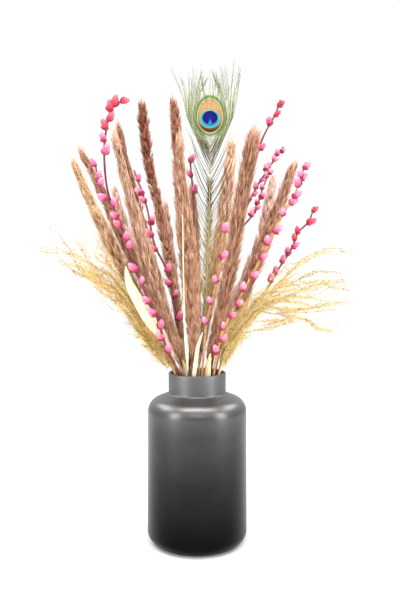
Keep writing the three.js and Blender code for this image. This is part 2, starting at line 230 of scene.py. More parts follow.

# %% [markdown]
# The glass carries a satin anthracite coat. It mirrors the room softly, so the shader's metallic value is full and
# its colours are dark. A ramp up the object's own height paints shade into that colour: darker towards the foot,
# where the glass mirrors the dim lower room, and lighter over the shoulder and neck. Fine noise in the roughness
# and a whisper of bump keep the coat from looking like plastic.

# %% Vase finish
glass = new_finish("satin_grey_glass", 0.3, metallic=1.0)
spot, (_, _, up_z) = place_in(glass)
share_up = calc(glass, "DIVIDE", up_z, VASE_HEIGHT * MM)
# painted shade: the metallic colour darkens towards the foot, where the glass mirrors the dim lower room
painted_shade_fade = ramp(glass, share_up, [(0.0, 0.005), (0.12, 0.007), (0.4, 0.022), (0.68, 0.055),
                              (0.78, 0.09), (0.82, 0.14), (0.9, 0.12), (1.0, 0.14)])
cloud = ramp(glass, speckle(glass, spot, 26.0, 4.0), [(0.3, 0.9), (0.7, 1.08)])
colour_of(glass, times(glass, painted_shade_fade, cloud))
grain = speckle(glass, spot, 900.0)
satin = ramp(glass, grain, [(0.3, 0.33), (0.7, 0.39)])
softer_neck = ramp(glass, share_up, [(0.84, 0.0), (0.9, 0.12)])
feed(glass, calc(glass, "ADD", satin, softer_neck), sockets_of(glass)["Roughness"])
bump(glass, grain, 0.03, 0.0002)


def finish_piece(piece, name, node):
    piece.name = piece.data.name = name
    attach(piece, "root")
    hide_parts(node)


dress(glass, vase)
finish_piece(vase, "glass_vase", "vase")
print("vase dressed in", glass.name)

# %% [markdown]
# ## Routes of the stems
# Each stem starts just above the vase floor, goes straight up through the neck and then sweeps out on a smooth
# curve. The solids use the same bends, so the pieces made here lie over them. A short function runs a smooth
# line through the bends and spaces its places evenly, and another gives the three directions at each place.

# %% Helpers for routes
OUTER_RING, INNER_RING = 37.0, 25.0


def bends_of(ring, degrees, route):
    x, y = ring * math.cos(math.radians(degrees)), ring * math.sin(math.radians(degrees))
    return [(x, y, FLOOR + 0.5), (x, y, NECK_START), (x, y, VASE_HEIGHT - 4), *route]


def smooth_route(bends, count):
    bends = np.array(bends, float)
    ends = np.vstack([2 * bends[0] - bends[1], bends, 2 * bends[-1] - bends[-2]])
    step = np.linspace(0, 1, 40, endpoint=False)[:, None]
    dense = []
    for a, b, c, d in zip(ends, ends[1:], ends[2:], ends[3:]):
        g0, g1, g2 = [np.sum((q - p) ** 2) ** 0.25 for p, q in ((a, b), (b, c), (c, d))]
        t1 = ((b - a) / g0 - (c - a) / (g0 + g1) + (c - b) / g1) * g1
        t2 = ((c - b) / g1 - (d - b) / (g1 + g2) + (d - c) / g2) * g1
        start = b + t1 * step + (3 * c - 3 * b - 2 * t1 - t2) * step**2
        dense.append(start + (2 * b - 2 * c + t1 + t2) * step**3)
    dense = np.vstack([*dense, bends[-1:]])
    run = np.r_[0, np.cumsum(np.linalg.norm(np.diff(dense, axis=0), axis=1))]
    even = np.linspace(0, run[-1], count)
    return np.stack([np.interp(even, run, dense[:, k]) for k in range(3)], axis=1), run[-1]


def unit(vectors):
    return vectors / np.maximum(np.linalg.norm(vectors, axis=-1, keepdims=True), 1e-9)


def directions(places):
    along = unit(np.gradient(places, axis=-2))
    across = unit(np.cross(along, (0.0, -1.0, 0.0)))
    return along, across, np.cross(across, along)


def pick(values, shares):
    x = np.clip(shares, 0, 1) * (len(values) - 1)
    i = np.minimum(x.astype(int), len(values) - 2)
    return values[i] + (values[i + 1] - values[i]) * (x - i)[..., None]


def share_at(places, height):
    return np.interp(height, places[:, 2], np.linspace(0, 1, len(places)))


def smoothstep(x):
    x = np.clip(x, 0, 1)
    return x * x * (3 - 2 * x)


print("rings in the neck, mm:", OUTER_RING, INNER_RING)

# %% [markdown]
# ## Stems as curves
# A reed or a twig is a long thin taper. By hand it would be a curve object with a round bevel and a radius
# at every point, converted to a mesh once it looks right, and that is how each stem is made. Its strip of
# the map is laid along the stem, so that a later step can tell how far up a face sits.

# %% Helpers for stems and gathered copies
def drawn_stem(places, radii, roundness, strip):
    bpy.ops.curve.primitive_nurbs_path_add()
    stem = bpy.context.object
    curve = stem.data
    curve.splines.clear()
    line = curve.splines.new("POLY")
    line.points.add(len(places) - 1)
    line.points.foreach_set("co", np.c_[places * MM, np.ones(len(places))].astype(np.float32).ravel())
    line.points.foreach_set("radius", np.asarray(radii, np.float32))
    curve.bevel_depth, curve.bevel_resolution, curve.use_fill_caps = MM, roundness, True
    stem.location = (0, 0, 0)
    bpy.ops.object.convert(target="MESH")
    stem = bpy.context.object
    mesh = stem.data
    spots = np.zeros(len(mesh.vertices) * 3, np.float32)
    mesh.vertices.foreach_get("co", spots)
    spots = spots.reshape(-1, 3) / MM
    nearest = np.array([np.argmin(((places - s) ** 2).sum(1)) for s in spots])
    _, across, outwards = directions(places)
    away = spots - places[nearest]
    turn = np.abs(np.arctan2((away * outwards[nearest]).sum(1), (away * across[nearest]).sum(1))) / math.pi
    lay_map(mesh, np.c_[nearest / (len(places) - 1), strip[0] + turn * (strip[1] - strip[0])])
    bpy.ops.object.shade_smooth()
    return stem


def lay_map(mesh, by_vertex):
    while mesh.uv_layers:
        mesh.uv_layers.remove(mesh.uv_layers[0])
    layer = mesh.uv_layers.new(name=MAP)
    corners = np.zeros(len(mesh.loops), np.int32)
    mesh.loops.foreach_get("vertex_index", corners)
    layer.data.foreach_set("uv", by_vertex[corners].astype(np.float32).ravel())


def map_rows(along, row):
    return np.stack(np.broadcast_arrays(along, row), axis=-1).reshape(-1, 2)


def gathered(places, faces, by_vertex):
    mesh = bpy.data.meshes.new("gathered")
    mesh.vertices.add(len(places))
    mesh.vertices.foreach_set("co", (places * MM).astype(np.float32).ravel())
    mesh.loops.add(faces.size)
    mesh.loops.foreach_set("vertex_index", faces.astype(np.int32).ravel())
    mesh.polygons.add(len(faces))
    mesh.polygons.foreach_set("loop_start", np.arange(0, faces.size, 3, dtype=np.int32))
    mesh.update(calc_edges=True)
    lay_map(mesh, by_vertex)
    piece = bpy.data.objects.new("gathered", mesh)
    bpy.context.scene.collection.objects.link(piece)
    bpy.ops.object.select_all(action="DESELECT")
    piece.select_set(True)
    bpy.context.view_layer.objects.active = piece
    bpy.ops.object.shade_smooth()
    return piece


def joined(first, *others):
    bpy.ops.object.select_all(action="DESELECT")
    for piece in (first, *others):
        piece.select_set(True)
    bpy.context.view_layer.objects.active = first
    bpy.ops.object.join()
    return first


print("stems are beveled curves, hairs are gathered from copies of one template")

# %% [markdown]
# ## One hair
# A plume is thousands of silky hairs. One hair is modelled by hand: a three-sided cone, cut once across and
# swollen a little at the cut, so that it has a belly and a sharp tip. Its few faces are then laid along many
# bowed lines. Longer strands, such as barbs and threads, are closed slivers: a small ring of corners carried
# along a line. Real hair curves would be lost in the export, so every copy is true mesh.

# %% Model the hair
def as_template(piece):
    bpy.ops.object.mode_set(mode="EDIT")
    bpy.ops.mesh.select_all(action="SELECT")
    bpy.ops.mesh.quads_convert_to_tris()
    bpy.ops.object.mode_set(mode="OBJECT")
    bpy.ops.object.transform_apply(location=True, rotation=True, scale=True)
    places = np.array([v.co for v in piece.data.vertices], float)
    faces = np.array([list(p.vertices) for p in piece.data.polygons])
    bpy.data.objects.remove(piece)
    return places, faces


def model_hair(bellies):
    bpy.ops.mesh.primitive_cone_add(vertices=3, radius1=1, radius2=0, depth=1, location=(0, 0, 0.5))
    piece = bpy.context.object
    bpy.ops.object.mode_set(mode="EDIT")
    for height, belly in bellies:
        bpy.ops.mesh.select_all(action="SELECT")
        bpy.ops.mesh.bisect(plane_co=(0, 0, height), plane_no=(0, 0, 1))
        bpy.ops.transform.resize(value=(belly, belly, 1), center_override=(0, 0, height))
    bpy.ops.object.mode_set(mode="OBJECT")
    return as_template(piece)


hair = model_hair([(0.45, 1.7)])
down_hair = model_hair([])


def repeated(places, faces):
    first_corner = np.arange(len(places))[:, None, None] * (places[0].size // 3)
    return places.reshape(-1, 3), (faces + first_corner).reshape(-1, 3)


def lay_hairs(template, roots, tips, bows, widths):
    shape, faces = template
    height = shape[:, 2][:, None]
    line = roots[:, None] + (tips - roots)[:, None] * height + bows[:, None] * (4 * height * (1 - height))
    forward = unit(tips - roots)
    side = unit(np.cross(forward, (0.31, -0.93, 0.19)))
    front = np.cross(forward, side)
    spread = shape[:, 0, None] * side[:, None] + shape[:, 1, None] * front[:, None]
    return repeated(line + widths[:, None, None] * spread, faces)


def slivers(lines, wide, thick, sides):
    steps = lines.shape[1]
    forward = unit(np.gradient(lines, axis=1))
    side = unit(np.cross(forward, (0.0, -1.0, 0.02)))
    front = np.cross(forward, side)
    turn = 2 * math.pi * np.arange(sides) / sides
    ring = (np.cos(turn)[:, None] * (wide[..., None, None] * side[:, :, None])
            + np.sin(turn)[:, None] * (thick[..., None, None] * front[:, :, None]))
    corner = np.arange(steps * sides).reshape(steps, sides)
    a, b = corner[:-1], np.roll(corner[:-1], -1, axis=1)
    c, d = np.roll(corner[1:], -1, axis=1), corner[1:]
    walls = [np.stack(three, -1).reshape(-1, 3) for three in ((a, b, c), (a, c, d))]
    fan = np.array([(0, k, k + 1) for k in range(1, sides - 1)])
    faces = np.concatenate([*walls, corner[0][fan[:, ::-1]], corner[-1][fan]])
    return repeated(lines[:, :, None] + ring, faces)


def strand_map(count, steps, low, high):
    row = (np.arange(count)[:, None, None] + 0.2 + 0.3 * np.arange(3)) / count
    return map_rows(np.linspace(0, 1, steps)[:, None], low + (high - low) * row)


print("one hair has", len(hair[1]), "faces, one down hair", len(down_hair[1]))

# %% [markdown]
# ## Pampas plumes
# A plume is a reed stem with hundreds of small tufts. Each tuft leaves the core at a low angle, bows out and
# closes to a point, and the tufts overlap like shingles. The core is the stem's own curve grown thicker, and
# the tufts are turned by the golden angle so that no rows show. A few strips of dry sheath stand along each
# reed above the rim, and one plume has a tall thin leaf beside it.

# %% Plume data
# name, slot, ring, degrees, radius, where the plume starts, where it tapers, length of fur, bleach of the tips,
# low and high colour, route
PLUMES = [
    ("far_left", "pampas_golden", OUTER_RING, 178, 13.5, 0.50, 0.45, 1, 0.4, "c6a078", "e2c89e",
     [(-62, 4, 330), (-134, 15, 467), (-182, 22, 564), (-218, 29, 648)]),
    ("left", "pampas_brown", OUTER_RING, 158, 11, 0.56, 0.45, 1, 0.3, "b68c6c", "c69a7e",
     [(-54, 18, 330), (-85, 27, 418), (-124, 43, 490), (-168, 56, 585), (-213, 69, 670)]),
    ("left_back", "pampas_pale", OUTER_RING, 139, 11, 0.66, 0.55, 1, 0.4, "e4c8b6", "ead0c4",
     [(-46, 38, 330), (-118, 86, 482), (-139, 105, 546), (-157, 124, 611)]),
    ("left_front", "pampas_tan", INNER_RING, 232, 15.5, 0.49, 0.24, 1, 0.5, "d0a98c", "dcbea6",
     [(-35, -24, 330), (-68, -31, 415), (-93, -44, 512), (-116, -54, 598), (-134, -65, 682)]),
    ("left_inner", "pampas_brown", INNER_RING, 168, 9.5, 0.66, 0.50, 1, 0.2, "a98062", "a67c60",
     [(-39, 8, 330), (-96, 16, 532), (-119, 20, 617), (-136, 25, 706)]),
    ("red_brown", "pampas_red_brown", INNER_RING, 147, 9.5, 0.56, 0.88, 0.66, 0.1, "d8ae90", "905840",
     [(-28, 14, 330), (-48, 15, 461), (-68, 17, 565), (-85, 18, 642), (-95, 20, 738)]),
    ("tall", "pampas_brown", OUTER_RING, 104, 10.5, 0.60, 0.85, 0.8, 0.2, "c29876", "a87660",
     [(-13, 43, 330), (-29, 67, 535), (-38, 87, 697), (-45, 95, 764)]),
    ("centre_front", "pampas_tan", INNER_RING, 262, 15, 0.51, 0.50, 1, 0.36, "d8ae8c", "c8a286",
     [(-5, -31, 330), (-11, -47, 448), (-21, -60, 535), (-27, -70, 604), (-27, -80, 669)]),
    ("centre_back", "pampas_brown", INNER_RING, 98, 11, 0.62, 0.55, 1, 0.3, "b5896c", "c69a80",
     [(-4, 33, 330), (-4, 50, 430), (-7, 74, 551), (-11, 85, 607)]),
    ("slim", "pampas_brown", OUTER_RING, 121, 7.5, 0.74, 0.40, 1, 0.3, "ecc8b0", "f0d4c4",
     [(-26, 44, 330), (-43, 73, 447), (-50, 86, 500), (-60, 105, 581)]),
    ("right_back", "pampas_tan", OUTER_RING, 86, 13.5, 0.48, 0.75, 1, 0.3, "f4d0aa", "fadcc2",
     [(10, 45, 330), (40, 70, 500), (53, 84, 590), (65, 100, 693)]),
    ("right_front", "pampas_brown", INNER_RING, 305, 14, 0.48, 0.88, 1, 0.3, "c89c7e", "b68c70",
     [(25, -24, 330), (50, -32, 432), (69, -40, 552), (81, -45, 616), (95, -50, 686)]),
    ("right_pale", "pampas_pale", OUTER_RING, 68, 11.5, 0.62, 0.60, 1, 0.4, "f6e0d2", "ecd2c8",
     [(36, 47, 330), (111, 91, 491), (129, 112, 565), (144, 130, 632)]),
    ("far_right", "pampas_brown", OUTER_RING, 0, 12.5, 0.55, 0.70, 1, 0.3, "cca082", "c69a80",
     [(50, 1, 330), (71, 3, 389), (108, 6, 481), (142, 8, 570), (167, 10, 637)]),
]
TALL_LEAF = {"left_front": [(-14, -27, 276), (-19, -48, 330), (-21, -72, 420), (-22, -92, 532)]}
REED_RADIUS, REED_STEPS, HAIRS_PER_TUFT, GOLDEN_ANGLE = 2.2, 150, 7, 2.39996
print(len(PLUMES), "plumes, the widest", 2 * max(p[4] for p in PLUMES), "mm across")

# %% [markdown]
# The hair's colour runs from a warm dark root, which is painted shade for the crowded tufts, to a lighter, bleached
# tip, and each tuft is lighter or darker than its neighbours. Both follow the map: its first axis runs along a hair
# and its second counts the tufts up the plume. The hue itself follows the height, and a noise drawn out along Z adds
# the fine streaks of combed hair.

# %% Plume and reed finishes
def plume_finish(name, low, high, bleach, bottom, top):
    finish = new_finish("plume_" + name, 0.9, sheen=0.06, specular=0.08)
    _, (along, row, _) = place_in(finish, "map")
    spot, (_, _, height) = place_in(finish)
    tall = (top - bottom) * MM
    above = calc(finish, "SUBTRACT", height, bottom * MM + 0.22 * tall)
    hue = mix(finish, calc(finish, "DIVIDE", above, 0.52 * tall), low, high)
    # painted shade: each hair darkens towards its root, where the tufts crowd and shade each other
    shade = ramp(finish, along, [(0.0, (0.38, 0.26, 0.22)), (0.25, (0.68, 0.55, 0.49)),
                                 (0.6, (0.98, 0.93, 0.91)), (1.0, (1.12, 1.11, 1.1))])
    tuft = ramp(finish, speckle_by_row(finish, row, 700.0), [(0.3, (0.76, 0.69, 0.66)), (0.7, 1.16)])
    streak = ramp(finish, grain_up(finish, spot, 0.14, 420.0), [(0.33, (0.58, 0.47, 0.43)), (0.66, 1.25)])
    body = times(finish, times(finish, hue, shade), times(finish, tuft, streak))
    bleached = calc(finish, "MULTIPLY", calc(finish, "POWER", along, 3.0), bleach)
    colour_of(finish, mix(finish, bleached, body, "f6dcc2"))
    return finish


def reed_finish():
    finish = new_finish("cream_reed", 0.55, specular=0.35)
    spot, _ = place_in(finish)
    straw = ramp(finish, grain_up(finish, spot, 0.06, 420.0, 3.0),
                 [(0.25, "b9925f"), (0.5, "dcc193"), (0.75, "f0e0bf")])
    weather = ramp(finish, grain_up(finish, spot, 0.01, 75.0, 1.0), [(0.36, (0.36, 0.26, 0.2)), (0.52, 1.0)])
    colour_of(finish, times(finish, straw, weather))
    return finish


def leaf_finish():
    finish = new_finish("cream_leaf", 0.6, specular=0.3)
    spot, _ = place_in(finish)
    colour_of(finish, ramp(finish, grain_up(finish, spot, 0.03, 900.0), [(0.3, "d9c596"), (0.65, "f8eed2")]))
    return finish


cream_reed, cream_leaf = reed_finish(), leaf_finish()
print("reed finishes", cream_reed.name, cream_leaf.name)

# %% Shape of a plume and its sheath
def plume_radius(share, taper):
    point = np.interp(taper, [0.35, 0.5, 0.85], [0.95, 0.86, 0.68])
    return (0.36 + 0.64 * smoothstep(share / 0.4)) * (1 - point * smoothstep((share - taper) / (1.06 - taper)))


def flat_strips(lines, wide, low, high, finish):
    count, steps = lines.shape[:2]
    strips = gathered(*slivers(lines, wide, 0.3 * wide, 3), strand_map(count, steps, low, high))
    dress(finish, strips)
    return strips


def sheath_strips(name, places, rng, steps=10):
    above_rim = share_at(places, VASE_HEIGHT + 4)
    lines, wide = [], []
    for _ in range(6):
        shares = above_rim + rng.uniform(0, 0.02) + np.linspace(0, 1, steps) * rng.uniform(0.08, 0.2)
        lean = np.append(rng.normal(0, 1, 2), 0) * np.linspace(0.6, 1, steps)[:, None] ** 2 * rng.uniform(2, 6)
        lines.append(pick(places, shares) + lean)
        wide.append(rng.uniform(0.6, 1.2) * np.linspace(1, 0.3, steps))
    strips = [flat_strips(np.array(lines), np.array(wide), 0.873, 0.883, cream_reed)]
    if name in TALL_LEAF:
        line, wide = smooth_route(TALL_LEAF[name], 20)[0][None], np.linspace(2.2, 0.7, 20)[None]
        strips.append(flat_strips(line, wide, 0.885, 0.895, cream_leaf))
    return strips


print("a plume that tapers at half is", plume_radius(1.0, 0.5).round(2), "of its radius at the tip")

# %% Grow the plumes
def plume_hairs(places, start, taper, radius, fur, run, rng):
    _, across, outwards = directions(places)
    tufts = int(40 + run * radius * 0.1 / fur)
    height = np.sort(rng.uniform(0, 1, tufts)) ** 0.95
    reach = fur * (19 + radius) * rng.uniform(0.65, 1.35, tufts)
    base = height * (1 - reach / run)
    top = base + reach * 0.96 / run
    turn = np.arange(tufts) * GOLDEN_ANGLE + rng.normal(0, 0.35, tufts)
    stray = np.where(rng.uniform(0, 1, tufts) < 0.2, rng.uniform(1.05, 1.4, tufts), rng.uniform(0.6, 1.06, tufts))
    tip_turn = turn + rng.normal(0, 0.28, tufts)

    def on_plume(share, off, angle):
        s = start + (1 - start) * share
        sway = np.cos(angle)[:, None] * pick(across, s) + np.sin(angle)[:, None] * pick(outwards, s)
        return pick(places, s) + off[:, None] * sway, sway

    roots, _ = on_plume(base, 0.34 * radius * plume_radius(base, taper), turn)
    tips, sway = on_plume(top, radius * plume_radius(top, taper) * stray, tip_turn)
    count = tufts * HAIRS_PER_TUFT
    owner = np.repeat(np.arange(tufts), HAIRS_PER_TUFT)
    hair_roots = roots[owner] + rng.normal(0, 0.13 * radius, (count, 3))
    loose = np.where(rng.uniform(0, 1, count) < 0.22, 3.2, 1.3)[:, None]
    hair_tips = tips[owner] + rng.normal(0, 1, (count, 3)) * loose
    hair_tips = hair_roots + (hair_tips - hair_roots) * rng.uniform(0.72, 1.04, count)[:, None]
    bows = sway[owner] * rng.uniform(0.5, 2.6, count)[:, None] + rng.normal(0, 0.6, (count, 3))
    hairs, faces = lay_hairs(hair, hair_roots, hair_tips, bows, rng.uniform(0.26, 0.42, count))
    row = (owner[:, None] + 0.15 + 0.35 * (hair[0][:, 0] + 1)) / tufts
    return gathered(hairs, faces, map_rows(hair[0][:, 2], 0.01 + 0.86 * row)), tufts


def grow_plume(name, slot, ring, degrees, radius, start, taper, fur, bleach, low, high, route, seed):
    rng = np.random.default_rng(seed)
    places, length = smooth_route(bends_of(ring, degrees, route), REED_STEPS)
    skirt = 0.42 + 0.22 * (start - 0.46)
    taper = (start + (1 - start) * taper - skirt) / (1 - skirt)
    up = np.clip((np.linspace(0, 1, REED_STEPS) - skirt) / (1 - skirt), 0, 1)
    closing = smoothstep(up / 0.06) * (1 - 0.8 * smoothstep((up - 0.9) / 0.1))
    core = 0.42 * radius * plume_radius(up, taper) * closing
    stem = drawn_stem(places, np.maximum(core, REED_RADIUS * (1 - 0.7 * up)), 2, (0.9, 0.99))
    plume, tufts = plume_hairs(places, skirt, taper, radius, fur, length * (1 - skirt), rng)
    strips = sheath_strips(name, places, rng)
    coat = plume_finish(name, low, high, bleach, pick(places, np.array([skirt]))[0, 2], places[-1, 2])
    dress(cream_reed, stem)
    dress(coat, stem, plume)
    for polygon in stem.data.polygons:
        share = stem.data.uv_layers[0].data[polygon.loop_start].uv[0]
        polygon.material_index = int(share > skirt + 0.03)
    piece = joined(stem, plume, *strips)
    finish_piece(piece, "plume_" + name, "pampas_" + name)
    return tufts, len(piece.data.polygons)


for seed, plume in enumerate(PLUMES):
    print(plume[0], "tufts and faces:", *grow_plume(*plume, seed))

# %% [markdown]
# ## Pussy willow
# A branch is a thin twig with soft catkins. A catkin is an oval of pink down held by a dark bud scale. It is
# modelled once: a sphere drawn out to an oval, and a cap cut from a second sphere for the scale. Copies sit on
# alternate sides of the twig, each with a coat of tiny hairs.

# %% Model the catkin
CATKIN_SCALE = (0.42, 0.42, 0.5)


def model_catkin():
    bpy.ops.mesh.primitive_uv_sphere_add(segments=12, ring_count=9, radius=1)
    oval = bpy.context.object
    bpy.ops.object.mode_set(mode="EDIT")
    bpy.ops.transform.resize(value=(0.72, 0.72, 1.06), center_override=(0, 0, 0.1))
    bpy.ops.object.mode_set(mode="OBJECT")
    oval.scale = CATKIN_SCALE
    return as_template(oval)


def model_scale():
    bpy.ops.mesh.primitive_uv_sphere_add(segments=10, ring_count=8, radius=1.07)
    cap = bpy.context.object
    bpy.ops.object.mode_set(mode="EDIT")
    bpy.ops.mesh.select_all(action="SELECT")
    bpy.ops.mesh.bisect(plane_co=(0, 0, -0.6), plane_no=(0.5, 0, 1), use_fill=True, clear_outer=True)
    bpy.ops.mesh.select_all(action="SELECT")
    bpy.ops.mesh.normals_make_consistent(inside=False)
    bpy.ops.object.mode_set(mode="OBJECT")
    cap.scale = CATKIN_SCALE
    return as_template(cap)


catkin, bud_scale = model_catkin(), model_scale()
print("catkin faces", len(catkin[1]), "bud scale faces", len(bud_scale[1]))

# %% Willow data
# name, ring, degrees, bark, lean to the front, catkin length, where coral tips start, paleness,
# route, catkins in percent up the branch with the side as sign, then the same for a side twig if any
WILLOWS = [
    ("left", OUTER_RING, 222, "6e2430", 0.7, 17, 0.80, 0.1,
     [(-49, -34, 320), (-64, -41, 371), (-85, -51, 419), (-104, -60, 472), (-121, -70, 523), (-137, -78, 565),
      (-142, -86, 610), (-140, -93, 652), (-126, -101, 697), (-103, -104, 706)],
     [9, -14, 18, -23, -28, 35, -40, 48, 51, -56, -59, 63, 81, -85, -89, 92, -95, -97, 100],
     [(-129, -74, 544), (-146, -92, 571), (-152, -96, 594), (-154, -99, 608)], [-28, 56, 73, -100]),
    ("inner_left", INNER_RING, 188, "7a3a38", 0.0, 16.5, 2.0, 0.15,
     [(-30, -6, 330), (-34, -8, 378), (-51, -9, 448), (-70, -10, 489), (-84, -11, 555), (-104, -12, 612)],
     [26, 37, -43, 50, -62, -69, 75, -86, -90, 97], [], []),
    ("centre", INNER_RING, 123, "6e2430", 0.0, 16.5, 2.0, 0.1,
     [(-11, 24, 330), (-6, 33, 464), (-7, 38, 568), (-13, 42, 642)], [-17, -28, 85, -93, 100], [], []),
    ("front", OUTER_RING, 282, "a57650", 0.5, 16, 2.0, 0.2,
     [(12, -52, 330), (14, -60, 361), (29, -79, 425), (38, -95, 479), (39, -105, 515)],
     [-37, -51, -66, 82, 100], [], []),
    ("right", OUTER_RING, 316, "b98a52", 0.6, 17, 2.0, 0.25,
     [(36, -36, 330), (43, -44, 355), (74, -54, 416), (103, -63, 472), (131, -72, 529), (153, -78, 569),
      (167, -85, 614)],
     [-10, 16, -22, 28, 34, -41, 48, 57, -64, 70, -78, 84, 87, -92, 95, -96, 100], [], []),
    ("tall_right", OUTER_RING, 51, "6e2430", 0.0, 17, 0.5, 0.0,
     [(34, 33, 330), (92, 52, 595), (113, 58, 674), (138, 64, 723), (146, 66, 746)], [82, -92, 96, 100], [], []),
    ("pink_right", OUTER_RING, 34, "6b2a38", 0.0, 15, 2.0, 0.5,
     [(42, 31, 330), (75, 60, 526), (102, 69, 588), (129, 75, 631), (153, 80, 666)],
     [-74, 77, -80, 84, -89, -91, -95, 95, -98, 100],
     [(70, 58, 513), (100, 56, 548), (114, 62, 588), (127, 66, 620)], [-30, -36, 43, -49, 60, -73, -92, 98]),
    ("far_right", OUTER_RING, 17, "7a2d38", 0.0, 16.5, 0.55, 0.1,
     [(62, 16, 330), (98, 23, 379), (141, 30, 452), (162, 33, 485), (173, 36, 511), (192, 38, 531),
      (201, 40, 556)],
     [-55, -60, -67, -72, 77, -81, -85, 93, 100], [], []),
]
ROWS_FROM, ROWS_TALL = 0.3, 0.68
DOWN_PER_CATKIN = 110
print(sum(len(w[9]) + len(w[11]) for w in WILLOWS), "catkins on", len(WILLOWS), "branches")

# %% [markdown]
# The down is deep pink near the bud scale and pales towards the tip; the ramp is partly the down's own colour and
# partly painted light, darker as painted shade by the scale and paler as painted highlight at the top, so it follows
# the catkin from base to tip on the map. Rows of the map count the catkins along the branch, which lets the topmost
# ones turn coral red, as on the real branches.

# %% Willow finishes
def down_finish(name, coral_from, paleness):
    finish = new_finish("down_" + name, 0.8, sheen=0.15, specular=0.15)
    _, (along, row, _) = place_in(finish, "map")
    # partly painted light: pink and coral darken at the base as painted shade by the bud scale and pale at the tip
    # as painted highlight
    pink = ramp(finish, along, [(0.0, "84163f"), (0.16, "c43c70"), (0.45, "da6089"), (0.8, "e682a4"),
                                (1.0, "eea6bd")])
    coral = ramp(finish, along, [(0.0, "74101f"), (0.2, "c0182f"), (0.6, "de2c44"), (1.0, "e85e6c")])
    is_top = calc(finish, "GREATER_THAN", row, ROWS_FROM + ROWS_TALL * coral_from)
    hue = mix(finish, calc(finish, "MULTIPLY", is_top, 0.85), pink, coral)
    lively = ramp(finish, speckle_by_row(finish, row, 60.0), [(0.3, (0.84, 0.66, 0.72)), (0.7, 1.12)])
    mottle = ramp(finish, speckle(finish, place_in(finish)[0], 330.0),
                  [(0.35, (0.74, 0.5, 0.58)), (0.55, 1.0), (0.7, (1.12, 1.3, 1.24))])
    down = times(finish, times(finish, hue, lively), mottle)
    colour_of(finish, mix(finish, calc(finish, "MULTIPLY", along, paleness), down, "f9c4d8"))
    return finish


def bark_finish(name, colour):
    finish = new_finish("bark_" + name, 0.5, specular=0.4)
    patches = speckle(finish, place_in(finish)[0], 160.0, 4.0)
    bark = paint(colour)[:3]
    dark, light = [0.55 * c for c in bark], [min(1.35 * c + 0.02, 1.0) for c in bark]
    colour_of(finish, ramp(finish, patches, [(0.3, dark), (0.5, bark), (0.75, light)]))
    bump(finish, patches, 0.4, 0.0006)
    return finish


def spotted_finish(name, roughness, specular, scale, stops):
    finish = new_finish(name, roughness, specular=specular)
    colour_of(finish, ramp(finish, speckle(finish, place_in(finish)[0], scale), stops))
    return finish


maroon_scale = spotted_finish("bud_scale", 0.4, 0.4, 300.0, [(0.3, "6b1228"), (0.7, "a62f48")])
print("bud scale finish", maroon_scale.name)

# %% Grow the willow branches
def catkins_on(places, percents, lean, size, rng):
    along = directions(places)[0]
    run = np.r_[0, np.cumsum(np.linalg.norm(np.diff(places, axis=0), axis=1))]
    rim = np.interp(VASE_HEIGHT, places[:, 2], run) / run[-1] if places[0, 2] < VASE_HEIGHT else 0.0
    share = rim + (0.985 - rim) * np.abs(percents) / 100
    depth = -lean + (1 - lean) * 0.6 * np.sin(2.4 * np.arange(len(percents)))
    forward = pick(along, share)
    sideways = np.stack([np.sign(percents), depth, np.zeros(len(percents))], axis=1)
    sideways = unit(sideways - (sideways * forward).sum(1, keepdims=True) * forward)
    axis = unit(0.84 * forward + 0.54 * sideways)
    long = size * rng.uniform(0.78, 1.08, len(percents))
    return pick(places, share) + axis * long[:, None] * 0.42, axis, long


def set_copies(template, middles, axes, sizes, rng):
    shape, faces = template
    side = unit(np.cross(axes, unit(rng.normal(0, 1, axes.shape))))
    front = np.cross(axes, side)
    spread = (shape[:, 0, None] * side[:, None] + shape[:, 1, None] * front[:, None]
              + shape[:, 2, None] * axes[:, None])
    return repeated(middles[:, None] + sizes[:, None, None] * spread, faces)


def down_on(eggs, middles, axes, rng):
    shape, faces = catkin
    count = len(middles)
    total = count * DOWN_PER_CATKIN
    owner = np.repeat(np.arange(count), DOWN_PER_CATKIN)
    corners = faces[rng.integers(0, len(faces), total)]
    weights = rng.dirichlet((1, 1, 1), total)
    seats = (eggs.reshape(count, -1, 3)[owner[:, None], corners] * weights[:, :, None]).sum(1)
    off = seats - middles[owner]
    outward = unit(off - 0.4 * axes[owner] * (off * axes[owner]).sum(1)[:, None])
    aim = unit(outward + 0.9 * axes[owner] + rng.normal(0, 0.25, outward.shape))
    ends = seats + aim * rng.uniform(1.2, 2.8, total)[:, None]
    down, down_faces = lay_hairs(down_hair, seats - 0.3 * aim, ends, np.zeros_like(ends), np.full(total, 0.3))
    along = (shape[:, 2][corners] * weights).sum(1)[:, None] + 0.5 + 0.22 * down_hair[0][:, 2]
    row = ROWS_FROM + ROWS_TALL * (owner[:, None] + 0.5 + 0.2 * down_hair[0][:, 0]) / count
    return gathered(down, down_faces, map_rows(np.clip(along, 0, 1), row))


